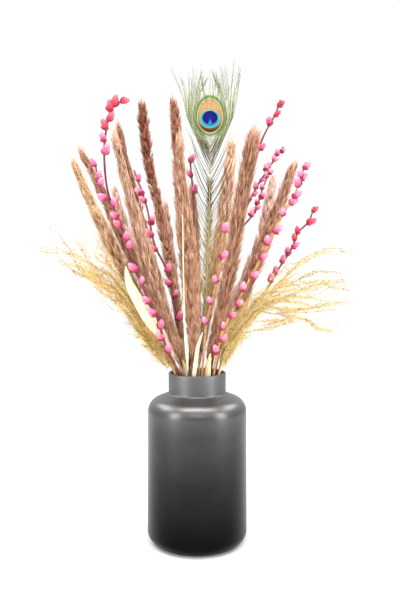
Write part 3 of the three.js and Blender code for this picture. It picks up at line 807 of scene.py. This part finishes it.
def grow_willow(name, ring, degrees, bark, lean, size, coral_from, paleness,
                route, percents, twig, twig_percents, seed):
    rng = np.random.default_rng(100 + seed)
    lines = [(smooth_route(bends_of(ring, degrees, route), 120)[0], np.array(percents), 2.3, 1.5)]
    if twig:
        lines.insert(0, (smooth_route(twig, 40)[0], np.array(twig_percents), 1.7, 1.2))
    parts, grown = [], []
    for places, marks, thick, thin in lines:
        knobs = 1 + 0.16 * np.clip(np.sin(np.arange(len(places)) * 0.9), 0, 1) ** 6
        radii = np.linspace(thick, thin, len(places)) * knobs
        parts.append(drawn_stem(places, radii, 2, (0.02, 0.12) if not parts else (0.14, 0.24)))
        grown.append(catkins_on(places, marks, lean, size, rng))
    middles, axes, sizes = (np.concatenate(x) for x in zip(*grown))
    order = np.arange(len(middles))[:, None]
    shape = catkin[0]
    eggs, egg_faces = set_copies(catkin, middles, axes, sizes, rng)
    row = ROWS_FROM + ROWS_TALL * (order + 0.2 + 0.6 * (shape[:, 0] + 0.4) / 0.8) / len(order)
    body = gathered(eggs, egg_faces, map_rows((shape[:, 2] + 0.5).clip(0, 1), row))
    fuzz = down_on(eggs, middles, axes, rng)
    cap = bud_scale[0]
    cap_map = map_rows(0.02 + 0.9 * (order + cap[:, 0] + 0.5) / len(order), 0.265 + 0.02 * cap[:, 1] / 0.4)
    scales = gathered(*set_copies(bud_scale, middles, axes, sizes, rng), cap_map)
    dress(bark_finish(name, bark), *parts)
    dress(down_finish(name, coral_from, paleness), body, fuzz)
    dress(maroon_scale, scales)
    branch = joined(*parts, body, fuzz, scales)
    finish_piece(branch, "branch_" + name, "willow_" + name)
    return len(order), len(branch.data.polygons)


for seed, willow in enumerate(WILLOWS):
    print(willow[0], "catkins and faces:", *grow_willow(*willow, seed))

# %% [markdown]
# ## Peacock feather
# The feather is a pale shaft with long loose barbs on both sides, short dense barbs low down, locks of barbs
# that sweep round the eye, and a fan of pale tips above it. The eye is a flattened egg of close barbs, so a
# squashed sphere carries it. The barbs are closed slivers gathered along bowed lines.

# %% Where the eye sits
EYE, EYE_HALF, SHAFT_STEPS = np.array([21.5, 14.0, 703.5]), np.array([26.6, 0.9, 39]), 120
print("eye middle in mm", EYE)

# %% [markdown]
# The eye's colours are rings of one egg inside another: a blue pupil with a notch, turquoise, bronze, a thin
# yellow line and green. Each ring is a distance worked out from the object's own X and Z, so the rings stay
# where they belong on barbs and egg alike. A stripe noise fanned out from below draws the barbs.

# %% Feather finish
def egg_distance(finish, dx, dz, half_width, half_up, half_down):
    above = calc(finish, "MAXIMUM", dz, 0.0)
    below = calc(finish, "MINIMUM", dz, 0.0)
    parts = [calc(finish, "POWER", calc(finish, "DIVIDE", value, half * MM), 2.0)
             for value, half in ((dx, half_width), (above, half_up), (below, half_down))]
    return calc(finish, "SQRT", calc(finish, "ADD", calc(finish, "ADD", parts[0], parts[1]), parts[2]))


def below_one(finish, distance, edge):
    return ramp(finish, distance, [(1.0 - edge, 1.0), (1.0, 0.0)])


vane = new_finish("peacock_barbs", 0.7, specular=0.12)
spot, (place_x, _, place_z) = place_in(vane)
dx = calc(vane, "SUBTRACT", place_x, EYE[0] * MM)
dz = calc(vane, "SUBTRACT", place_z, EYE[2] * MM)
fan_turn = calc(vane, "ARCTAN2", dx, calc(vane, "ADD", dz, 0.075))
stripe = speckle_by_row(vane, fan_turn, 90.0, 3.0)
ragged = calc(vane, "MULTIPLY", calc(vane, "SUBTRACT", stripe, 0.5), 0.0025)
egg = egg_distance(vane, dx, calc(vane, "ADD", dz, ragged), 20.8, 31.5, 25.0)
pool = egg_distance(vane, dx, calc(vane, "ADD", dz, 0.0024), 18.0, 16.6, 15.8)
pupil = egg_distance(vane, dx, calc(vane, "SUBTRACT", dz, 0.0002), 13.4, 12.0, 11.6)
half_egg = calc(vane, "MULTIPLY", egg, 0.5)
print("feather distances ready")

# %% Feather colours
loose = ramp(vane, calc(vane, "DIVIDE", place_z, 0.82),
             [(0.4, "c4ad78"), (0.6, "a8945c"), (0.69, "6a6040"), (0.75, "5c5636"),
              (0.8, "6f6b42"), (0.85, "7d8040"), (0.9, "8f964e"), (0.96, "74745c")])
rings = ramp(vane, half_egg,
             [(0.40, "c98a4a"), (0.485, "b98445"), (0.505, "e6dca8"), (0.525, "dedca6"),
              (0.545, "7fa468"), (0.59, "8fb368"), (0.62, "cfdca0"), (0.66, "b3c078"),
              (0.72, "e2e8bc"), (0.82, "cad494"), (0.98, "c2cc86")])
bronze = ramp(vane, calc(vane, "ADD", calc(vane, "MULTIPLY", dz, 14.0), 0.45),
              [(0.1, "4a2c18"), (0.25, "8a5a2e"), (0.42, "cf9d5c"), (0.68, "e6b877"), (0.85, "e8bd92"),
               (1.0, "dfbca4")])
turquoise = ramp(vane, pool, [(0.6, "2a93c4"), (0.85, "58c6d6"), (1.0, "7fe0d8")])
blue = ramp(vane, pupil, [(0.0, "1a20b4"), (0.55, "14128a"), (0.95, "0a0a3c")])
wedge = calc(vane, "MULTIPLY", calc(vane, "ADD", dz, 0.0015), -0.44)
in_wedge = calc(vane, "LESS_THAN", calc(vane, "ABSOLUTE", dx), wedge)
in_pupil = calc(vane, "MULTIPLY", below_one(vane, pupil, 0.1), calc(vane, "SUBTRACT", 1.0, in_wedge))
eye_colour = mix(vane, below_one(vane, egg, 0.06), rings, bronze)
eye_colour = mix(vane, below_one(vane, pool, 0.07), eye_colour, turquoise)
eye_colour = mix(vane, in_pupil, eye_colour, blue)
eye_colour = times(vane, eye_colour, ramp(vane, stripe, [(0.3, 0.3), (0.7, 0.64)]))
loose = times(vane, loose, ramp(vane, speckle(vane, spot, 240.0), [(0.35, 0.55), (0.65, 1.1)]))
colour_of(vane, mix(vane, ramp(vane, half_egg, [(0.72, 1.0), (0.92, 0.0)]), loose, eye_colour))
bump(vane, stripe, 0.5, 0.0006)

quill = new_finish("feather_shaft", 0.4, specular=0.5)
spot, (_, _, shaft_z) = place_in(quill)
worn = ramp(quill, speckle(quill, spot, 250.0), [(0.3, "8f7c4c"), (0.7, "d8caa2")])
fresh = ramp(quill, shaft_z, [(0.3, "c9b98a"), (0.6, "a8945c"), (0.75, "7c6a3c")])
colour_of(quill, mix(quill, 0.35, fresh, worn))
print("feather finish has", len(vane.node_tree.nodes), "nodes")

# %% Feather eye and shaft
bpy.ops.mesh.primitive_uv_sphere_add(segments=48, ring_count=20, radius=1)
eye_egg = bpy.context.object
bpy.ops.object.mode_set(mode="EDIT")
bpy.ops.mesh.select_all(action="DESELECT")
bpy.ops.object.mode_set(mode="OBJECT")
for vertex in eye_egg.data.vertices:
    vertex.select = vertex.co.z < 0
bpy.ops.object.mode_set(mode="EDIT")
bpy.ops.transform.resize(value=(1, 1, 0.8), center_override=(0, 0, 0))
bpy.ops.object.mode_set(mode="OBJECT")
eye_egg.scale, eye_egg.location = EYE_HALF * MM, EYE * MM
bpy.ops.object.transform_apply(location=True, rotation=True, scale=True)
bpy.ops.object.shade_smooth()


def plane_map(places):
    return np.c_[(places[:, 0] + 90) / 220, (places[:, 2] - 320) / 500 * 0.9 + 0.02]


def vertices_of(piece):
    return np.array([v.co for v in piece.data.vertices], float) / MM


lay_map(eye_egg.data, plane_map(vertices_of(eye_egg)))
shaft_bends = bends_of(INNER_RING, 70, [(11, 22, 330), (15, 21, 396), (20, 18, 532), (22, 16, 633), (22, 14, 715)])
shaft_line, shaft_length = smooth_route(shaft_bends, SHAFT_STEPS)
shaft = drawn_stem(shaft_line, np.linspace(1.4, 0.5, SHAFT_STEPS), 2, (0.95, 0.99))
print("shaft length in mm", round(shaft_length))

# %% [markdown]
# Barbs are laid in groups. A plain barb leaves the shaft at an angle and curls on its way. The barbs beside
# the eye run in locks: each lock leaves the shaft well below the eye, passes it at the side and opens above it.
# Chance shifts every barb a little, with a fixed seed, so that each run gives the same feather.

# %% Helpers for barbs
rng = np.random.default_rng(7)


def sliver_piece(lines, wide, thick):
    places, faces = slivers(lines, wide, thick, 4)
    return gathered(places, faces, plane_map(places))


def barbs(roots, angles, curls, lengths, steps, depth, width, thickness, bend=0.5):
    t = np.linspace(0, 1, steps)
    heading = angles[:, None] * (1.2 - bend * t) + curls[:, None] * t**3
    step = lengths[:, None] / (steps - 1)
    x, z = [np.cumsum(turn * step, axis=1) - turn[:, :1] * step for turn in (np.sin(heading), np.cos(heading))]
    lines = roots[:, None] + np.stack([x, depth[:, None] * np.sqrt(t), z], axis=-1)
    slim = (1 - 0.86 * t**2)[None] * np.ones((len(roots), 1))
    return sliver_piece(lines, slim * width[:, None], slim * thickness)


def locks_round_eye(side, locks, each, steps=14):
    lines = []
    for lock in range(locks):
        shift, lift = rng.normal(0, 8) * lock / locks, rng.uniform(-9, 13) + 7 * side * lock / locks
        for _ in range(each + 4 * (lock < 2)):
            off = np.clip((lock + 0.4) / locks + rng.normal(0, 0.022), 0, 1)
            wide, depth = 25 + 14 * off, rng.uniform(-2.4, 1.0)
            drop = wide * rng.uniform(1.7, 2.5)
            root = pick(shaft_line, share_at(shaft_line, EYE[2] - drop)[None])[0]
            tip = (2 + 62 * off**1.2 + shift + rng.normal(0, 1.6), 72 + 12 * off + lift + rng.normal(0, 4))
            turns = [(0.56 * wide, -0.42 * drop), (0.98 * wide, -2), (wide * (0.68 + 0.54 * off), 34), tip]
            lines.append(smooth_route([root, *[EYE + (side * x, depth, z) for x, z in turns]], steps)[0])
    slim = rng.uniform(0.3, 0.42, (len(lines), 1)) * np.interp(np.arange(steps), [0, 5, steps - 1], [0.5, 1, 0.4])
    return sliver_piece(np.array(lines), slim, 0.6 * slim)


print("shaft passes the eye's middle at share", share_at(shaft_line, EYE[2]).round(2))

# %% Lay the barbs
LONG, SHORT, BESIDE, FAN = 36, 150, 30, 26
made = []
for side, low_angle, extra in ((-1, 26, 0), (1, 36, 36)):
    up = np.clip(np.linspace(0, 1, LONG) + rng.normal(0, 0.008, LONG), 0, 1)
    angles = np.radians(low_angle + (26 - low_angle) * up) + rng.normal(0, 0.03, LONG)
    lengths = 58 + extra * (1 - up) + 40 * smoothstep(up * 1.5)
    made.append(barbs(pick(shaft_line, 0.55 + 0.34 * up), side * angles,
                      side * (0.2 * up + rng.normal(0, 0.1, LONG)), lengths * rng.uniform(0.86, 1.04, LONG), 10,
                      rng.uniform(-4, 4, LONG), rng.uniform(0.42, 0.6, LONG), 0.25, 0.5 + 0.3 * up[:, None]))
    up = np.linspace(0, 1, SHORT)
    made.append(barbs(pick(shaft_line, 0.45 + 0.38 * up), side * np.radians(rng.normal(32, 7, SHORT)),
                      side * rng.normal(-0.1, 0.2, SHORT), rng.uniform(12, 30, SHORT) * (1 - 0.45 * up), 5,
                      rng.uniform(-2.5, 1.5, SHORT), rng.uniform(0.46, 0.66, SHORT), 0.25))
    made.append(locks_round_eye(side, 10, 4))
    up = np.linspace(0, 1, BESIDE)
    angles = np.radians(56 - 48 * up + rng.normal(0, 3, BESIDE))
    lengths = 50 + 20 * np.sin(up * 2.6) + rng.uniform(-6, 12, BESIDE)
    made.append(barbs(pick(shaft_line, 0.925 + 0.075 * up), side * angles, side * (-0.45 + 0.5 * up), lengths, 10,
                      rng.uniform(-1.7, -1.0, BESIDE), np.full(BESIDE, 0.4), 0.3))
fan = np.linspace(-1, 1, FAN) + rng.normal(0, 0.03, FAN)
angles = np.radians(19) * fan + rng.normal(0, 0.07, FAN)
crown = np.stack([25 * np.sin(1.3 * fan), rng.uniform(-1.2, 1.2, FAN), 18 + 19 * np.cos(1.3 * fan)], axis=1)
made.append(barbs(EYE + crown, angles, 0.5 * fan + rng.normal(0, 0.25, FAN), rng.uniform(30, 62, FAN), 9,
                  rng.uniform(-2, 2, FAN), rng.uniform(0.24, 0.36, FAN), 0.2))
dress(vane, eye_egg, *made)
dress(quill, shaft)
feather = joined(shaft, eye_egg, *made)
finish_piece(feather, "peacock_plume", "peacock_feather")
print("feather faces", len(feather.data.polygons))

# %% [markdown]
# ## Golden grass
# Each spray is a soft cloud of crimped golden threads that breaks up into fine stalks with tiny seeds. The
# threads are slivers along wavy lines. A seed is a small spindle, modelled once from a sphere and set in
# zigzag along the stalks. A few wisps at the outside are listed one by one, because they draw the outline.

# %% Spray data
# name, ring, degrees, colours from shade to light, droop of the cloud, main route, wisps
SPRAYS = [
    ("left", OUTER_RING, 199, ("b08a42", "e2bf76", "f7e6b6"), (-9, 0, -9),
     [(-62, -16, 330), (-109, -23, 399), (-148, -30, 461), (-195, -34, 508)],
     [[(-132, -27, 432), (-205, -40, 475), (-260, -46, 483)],
      [(-122, -25, 410), (-181, -38, 440), (-206, -48, 488), (-237, -58, 519)],
      [(-140, -28, 445), (-186, -20, 438), (-229, -14, 470)],
      [(-58, -15, 325), (-84, -28, 336), (-113, -36, 346)],
      [(-84, -19, 362), (-128, -44, 391), (-160, -52, 424)],
      [(-136, -28, 444), (-155, -18, 482), (-164, -8, 497)]]),
    ("right", OUTER_RING, 340, ("cba758", "eed28c", "fcf0cc"), (-14, 0, 10),
     [(58, -21, 326), (104, -33, 386), (150, -42, 424), (190, -48, 458)],
     [[(108, -34, 396), (166, -52, 462), (211, -60, 482), (246, -64, 475)],
      [(140, -40, 422), (198, -36, 445), (238, -30, 443)],
      [(138, -40, 420), (195, -58, 428), (219, -62, 419), (250, -66, 416)],
      [(118, -36, 402), (182, -28, 408), (222, -18, 436)],
      [(104, -33, 392), (150, -30, 382), (198, -26, 388), (251, -22, 395)],
      [(96, -31, 382), (174, -50, 367), (191, -54, 354), (233, -60, 364)],
      [(72, -25, 345), (125, -48, 359), (161, -56, 372)],
      [(90, -30, 374), (125, -20, 436), (160, -14, 462)]]),
]


def model_seed():
    bpy.ops.mesh.primitive_uv_sphere_add(segments=4, ring_count=3, radius=1)
    seed = bpy.context.object
    seed.scale = (0.19, 0.19, 0.5)
    return as_template(seed)


SPRAY_STEPS, LINE_STEPS, THREAD_STEPS, STALK_STEPS, SEEDS_PER_STALK = 100, 30, 9, 26, 26
grass_seed = model_seed()
print("seed faces", len(grass_seed[1]))

# %% Spray finishes
def grass_finish(name, shades):
    finish = new_finish("golden_grass_" + name, 0.8, sheen=0.05, specular=0.1)
    _, (along, row, _) = place_in(finish, "map")
    hue = ramp(finish, speckle_by_row(finish, row, 400.0, 1.0), list(zip((0.25, 0.5, 0.72), shades)))
    # painted light: the ramp along each thread lifts its root, against the self-shadow in the dense cloud
    colour_of(finish, times(finish, hue, ramp(finish, along, [(0.0, 1.1), (0.5, 1.0), (1.0, 1.06)])))
    return finish


olive_seed = spotted_finish("grass_seed", 0.6, 0.3, 220.0, [(0.32, "857038"), (0.47, "c29f54"), (0.64, "ead08e")])
print("seed finish", olive_seed.name)

# %% Lines of a spray
def crimped(lines, rng, height, waves):
    count, steps = lines.shape[:2]
    t = np.linspace(0, 1, steps)[None]
    _, across, outwards = directions(lines)
    phase, pace = rng.uniform(0, 6.28, (2, count, 1)), rng.uniform(0.7, 1.3, (count, 1)) * waves
    grow = np.minimum(1, 4 * t) * height
    sway = np.sin(2 * math.pi * pace * t + phase[0]), np.sin(2 * math.pi * pace * 0.8 * t + phase[1])
    return lines + (grow * sway[0])[..., None] * across + (grow * sway[1])[..., None] * outwards


def branchlets_of(places, rim, wisps, rng):
    start = pick(places, np.array([rim]))[0]
    guides = [smooth_route([start, *places[int(SPRAY_STEPS * rim) + 12::12]], 60)[0]]
    for wisp in wisps:
        joint = np.argmin(((places - wisp[0]) ** 2).sum(1)) / (SPRAY_STEPS - 1)
        halfway = pick(places, np.array([(rim + joint) / 2]))[0]
        guides.append(smooth_route([start, halfway, *wisp], 60)[0])
    guides = np.array(guides)
    lines = [smooth_route(wisp, LINE_STEPS)[0] for wisp in wisps]
    for _ in range(60):
        first, second = guides[rng.integers(0, len(guides), 2)]
        share = rng.uniform(0, 1)
        flow = share * first + (1 - share) * second
        low = 0.62 * rng.uniform(0, 1) ** 1.5
        line = pick(flow, np.linspace(low, min(low + rng.uniform(0.24, 0.42), 0.98), LINE_STEPS))
        lines.append(line + rng.normal(0, 7.5, 3) * np.linspace(0.7, 1, LINE_STEPS)[:, None])
    return np.array(lines)


def threads_on(lines, rng, each):
    count = len(lines) * each
    owner = np.repeat(np.arange(len(lines)), each)[:, None]
    first = rng.uniform(0, 0.82, count)
    run = np.linspace(0, 1, THREAD_STEPS)
    x = np.clip(first[:, None] + run * rng.uniform(0.2, 0.5, count)[:, None], 0, 1) * (LINE_STEPS - 1)
    i = np.minimum(x.astype(int), LINE_STEPS - 2)
    path = lines[owner, i] + (lines[owner, i + 1] - lines[owner, i]) * (x - i)[..., None]
    spread = rng.normal(0, 1, (count, 1, 3)) * (0.8 + 4.6 * run[:, None])
    return crimped(path + spread * (1.6 - first)[:, None, None], rng, 1.9, 2.6)


def racemes_on(lines, rng, copies, spread):
    grown = []
    flip = np.where(np.arange(SEEDS_PER_STALK) % 2, 1.0, -1.0)[:, None]
    for line in lines:
        for copy in range(copies):
            shift = rng.normal(0, spread, 3) * (copy > 0) * np.linspace(0.05, 1, LINE_STEPS)[:, None]
            last = LINE_STEPS if copy == 0 else int(rng.integers(20, LINE_STEPS + 1))
            stalk = crimped((line + shift)[None, :last], rng, 1.3, 3.0)[0]
            stalk = smooth_route(stalk[::2], STALK_STEPS)[0]
            marks = np.sort(rng.uniform(0.25, 1.0, SEEDS_PER_STALK))
            forward, sideways, _ = directions(stalk)
            zigzag = pick(forward, marks) + 0.7 * flip * pick(sideways, marks)
            aim = unit(zigzag + rng.normal(0, 0.35, zigzag.shape))
            seats = pick(stalk, marks) + aim * rng.uniform(0.6, 2.2, (SEEDS_PER_STALK, 1))
            grown.append((stalk[None], seats, aim, rng.uniform(2.0, 3.8, SEEDS_PER_STALK)))
    return [np.concatenate(group) for group in zip(*grown)]


print("a stalk carries", SEEDS_PER_STALK, "seeds")

# %% Grow the sprays
def grow_spray(name, ring, degrees, shades, droop, route, wisps, seed):
    rng = np.random.default_rng(200 + seed)
    places, _ = smooth_route(bends_of(ring, degrees, route), SPRAY_STEPS)
    stem = drawn_stem(places, np.linspace(2.0, 0.5, SPRAY_STEPS), 1, (0.9, 0.98))
    rim = share_at(places, VASE_HEIGHT + 6)
    sag = np.array(droop) * smoothstep((np.linspace(0, 1, SPRAY_STEPS) - rim) / 0.25)[:, None]
    lines = branchlets_of(places + sag, rim, wisps, rng)
    strands = threads_on(lines[len(wisps):], rng, 22)
    slim = np.linspace(1, 0.4, THREAD_STEPS)[None] * rng.uniform(0.2, 0.36, (len(strands), 1))
    threads = gathered(*slivers(strands, slim, slim, 3), strand_map(len(strands), THREAD_STEPS, 0.01, 0.45))
    outer = racemes_on(lines[:len(wisps)], rng, 4, 5.0)
    inner = racemes_on(lines[len(wisps):], rng, 2, 3.4)
    stalks, seats, aims, sizes = (np.concatenate(pair) for pair in zip(outer, inner))
    slim = np.linspace(0.42, 0.3, STALK_STEPS)[None] * np.ones((len(stalks), 1))
    wisp_stalks = gathered(*slivers(stalks, slim, slim, 3), strand_map(len(stalks), STALK_STEPS, 0.47, 0.67))
    shape = grass_seed[0]
    row = 0.7 + 0.18 * (np.arange(len(seats))[:, None] + 0.5 + shape[:, 0]) / len(seats)
    seed_heads = gathered(*set_copies(grass_seed, seats, aims, sizes, rng), map_rows(shape[:, 2] + 0.5, row))
    dress(grass_finish(name, shades), stem, threads)
    dress(olive_seed, wisp_stalks, seed_heads)
    spray = joined(stem, threads, wisp_stalks, seed_heads)
    finish_piece(spray, "spray_" + name, "grass_" + name)
    return len(stalks), len(seats), len(spray.data.polygons)


for seed, spray in enumerate(SPRAYS):
    print(spray[0], "stalks, seeds, faces:", *grow_spray(*spray, seed))

# %% [markdown]
# ## Leaf blades
# Three dry leaf blades stand in front, cream and a little cupped. A blade is a grid bent along its route:
# its rows follow the stem and its columns curl across it. Solidify gives it the thickness of dry leaf, and
# the veins are stripes across the map.

# %% Blade data and finish
# name, ring, degrees, half width, where the blade starts, colours, route
BLADES = [
    ("broad", INNER_RING, 207, 10.5, 0.62, ("e0c48e", "f7ecd4"),
     [(-44, -24, 320), (-69, -33, 357), (-96, -40, 401), (-108, -44, 425), (-114, -46, 454)]),
    ("short_left", OUTER_RING, 262, 3.4, 0.72, ("cfb596", "ecdcc6"), [(-2, -38, 300), (1, -40, 323), (9, -43, 349)]),
    ("short_right", OUTER_RING, 298, 4.5, 0.74, ("d8b87e", "f2ddb2"), [(19, -35, 296), (21, -37, 314)]),
]


def blade_finish(name, shades):
    finish = new_finish("dry_blade_" + name, 0.6, sheen=0.1, specular=0.3)
    _, (along, across, _) = place_in(finish, "map")
    line = add_node(finish, "ShaderNodeCombineXYZ", {0: calc(finish, "MULTIPLY", across, 46.0),
                                                     1: calc(finish, "MULTIPLY", along, 1.5)}).outputs[0]
    vein = speckle(finish, line, 1.0, 3.0)
    colour_of(finish, ramp(finish, vein, [(0.3, shades[0]), (0.62, shades[1])]))
    bump(finish, vein, 0.35, 0.0006)
    return finish


BLADE_STEPS = 100
print(len(BLADES), "blades")

# %% Bend the blades
def grow_blade(name, ring, degrees, half_width, start, shades, route):
    places, _ = smooth_route(bends_of(ring, degrees, route), BLADE_STEPS)
    _, across, outwards = directions(places)
    stem_steps = int(start * (BLADE_STEPS - 1)) + 8
    stem = drawn_stem(places[:stem_steps], np.linspace(2.0, 1.3, stem_steps), 2, (0.9, 0.99))
    bpy.ops.mesh.primitive_grid_add(x_subdivisions=8, y_subdivisions=30, size=2)
    blade = bpy.context.object
    spots = vertices_of(blade) * MM
    side, up = spots[:, 0], (spots[:, 1] + 1) / 2
    wide = half_width * np.interp(up, [0, 0.05, 0.25, 0.5, 0.8, 0.95, 1.0], [0.2, 0.5, 0.9, 1.0, 0.72, 0.3, 0.05])
    share = start + (1 - start) * up
    cup = 0.32 * wide * (1 - side**2) + 0.5 * np.sin(9 * up + 2.0 * side)
    shaped = (pick(places, share) + (side * wide)[:, None] * pick(across, share)
              + (cup - 0.2 * wide)[:, None] * pick(outwards, share))
    blade.data.vertices.foreach_set("co", (shaped * MM).astype(np.float32).ravel())
    lay_map(blade.data, np.c_[0.01 + 0.85 * up, 0.01 + 0.85 * (side + 1) / 2])
    bpy.ops.object.modifier_add(type="SOLIDIFY")
    solidify = blade.modifiers[-1]
    solidify.thickness, solidify.offset = 0.6 * MM, 0
    bpy.ops.object.modifier_apply(modifier=solidify.name)
    bpy.ops.object.shade_smooth_by_angle(angle=math.radians(50))
    dress(cream_reed, stem)
    dress(blade_finish(name, shades), blade)
    piece = joined(stem, blade)
    finish_piece(piece, "blade_" + name, "leaf_" + name)
    return len(piece.data.polygons)


for blade in BLADES:
    print(blade[0], "faces:", grow_blade(*blade))

# %% [markdown]
# ## Floor, light and camera
# The bouquet was shot high-key: a white room, a pale floor and large soft lights. A wide floor disc and a
# white world, brighter behind than in front, give the room. Six soft lights stand round it: three overhead,
# whose reflections are the bands on the vase's shoulder, one in front and one at each side. The camera looks
# level, a little over a metre away, with its shift set for the framing.

# %% Floor
FLOOR_RADIUS = 1.7
bpy.ops.mesh.primitive_circle_add(vertices=96, radius=FLOOR_RADIUS, fill_type="NGON", location=(0, 0, 0))
floor = bpy.context.object
floor.name = "floor"
pale = new_finish("pale_floor", 0.9, specular=0.1)
spot, _ = place_in(pale)
away = add_node(pale, "ShaderNodeVectorMath", {0: spot}, operation="LENGTH").outputs["Value"]
cloudy = ramp(pale, speckle(pale, spot, 1.5), [(0.3, 0.98), (0.7, 1.0)])
# painted shadow: the floor darkens towards the middle, round the vase's foot
colour_of(pale, times(pale, ramp(pale, away, [(0.1, 0.74), (0.9, 0.97)]), cloudy))
dress(pale, floor)
print("floor radius in m", FLOOR_RADIUS)

# %% Lights
# name, place, aim, width, height, power
LIGHTS = [
    ("overhead", (0.0, -0.45, 1.75), (0, -0.07, 0.23), 1.5, 0.5, 22),
    ("left_top", (-1.15, 0.35, 1.35), (0, 0, 0.25), 1.1, 0.5, 12),
    ("right_top", (1.15, 0.35, 1.35), (0, 0, 0.25), 1.1, 0.5, 12),
    ("front", (0.1, -2.2, 1.5), (0, 0, 0.45), 1.6, 0.8, 12),
    ("left_side", (-1.7, -1.3, 0.75), (0, 0, 0.3), 0.4, 1.5, 25),
    ("right_side", (1.7, -1.1, 0.75), (0, 0, 0.3), 0.35, 1.5, 24),
]
scene = bpy.context.scene
world = bpy.data.worlds.new("white_room")
world.use_nodes = True
facing = add_node(world, "ShaderNodeTexCoord", {}).outputs["Generated"]
back = add_node(world, "ShaderNodeSeparateXYZ", {0: facing}).outputs[1]
share_back = calc(world, "ADD", calc(world, "MULTIPLY", back, 0.5), 0.5)
brightness = ramp(world, share_back, [(0.25, 0.72), (0.6, 1.05)])
feed(world, brightness, world.node_tree.nodes["Background"].inputs["Color"])
scene.world = world
for name, place, aim, width, height, power in LIGHTS:
    bpy.ops.object.light_add(type="AREA", location=place)
    lamp = bpy.context.object
    lamp.name = name
    lamp.data.shape = "RECTANGLE"
    lamp.data.size, lamp.data.size_y, lamp.data.energy = width, height, power
    aim_x, aim_y, aim_z = unit(np.array(aim) - np.array(place))
    lamp.rotation_euler = (math.acos(-aim_z), 0, math.atan2(aim_y, aim_x) - math.pi / 2)
scene.view_settings.view_transform = "Standard"
print("lights", [row[0] for row in LIGHTS])

# %% Camera
CAMERA_PLACE, SENSOR, LENS, SHIFT = (0.00466, -1.131, 0.4586), 36.0, 40.8, -0.0612
bpy.ops.object.camera_add(location=CAMERA_PLACE, rotation=(math.pi / 2, 0, 0))
camera = bpy.context.object
camera.data.sensor_width, camera.data.lens, camera.data.shift_y = SENSOR, LENS, SHIFT
scene.camera = camera
print("camera at", CAMERA_PLACE)
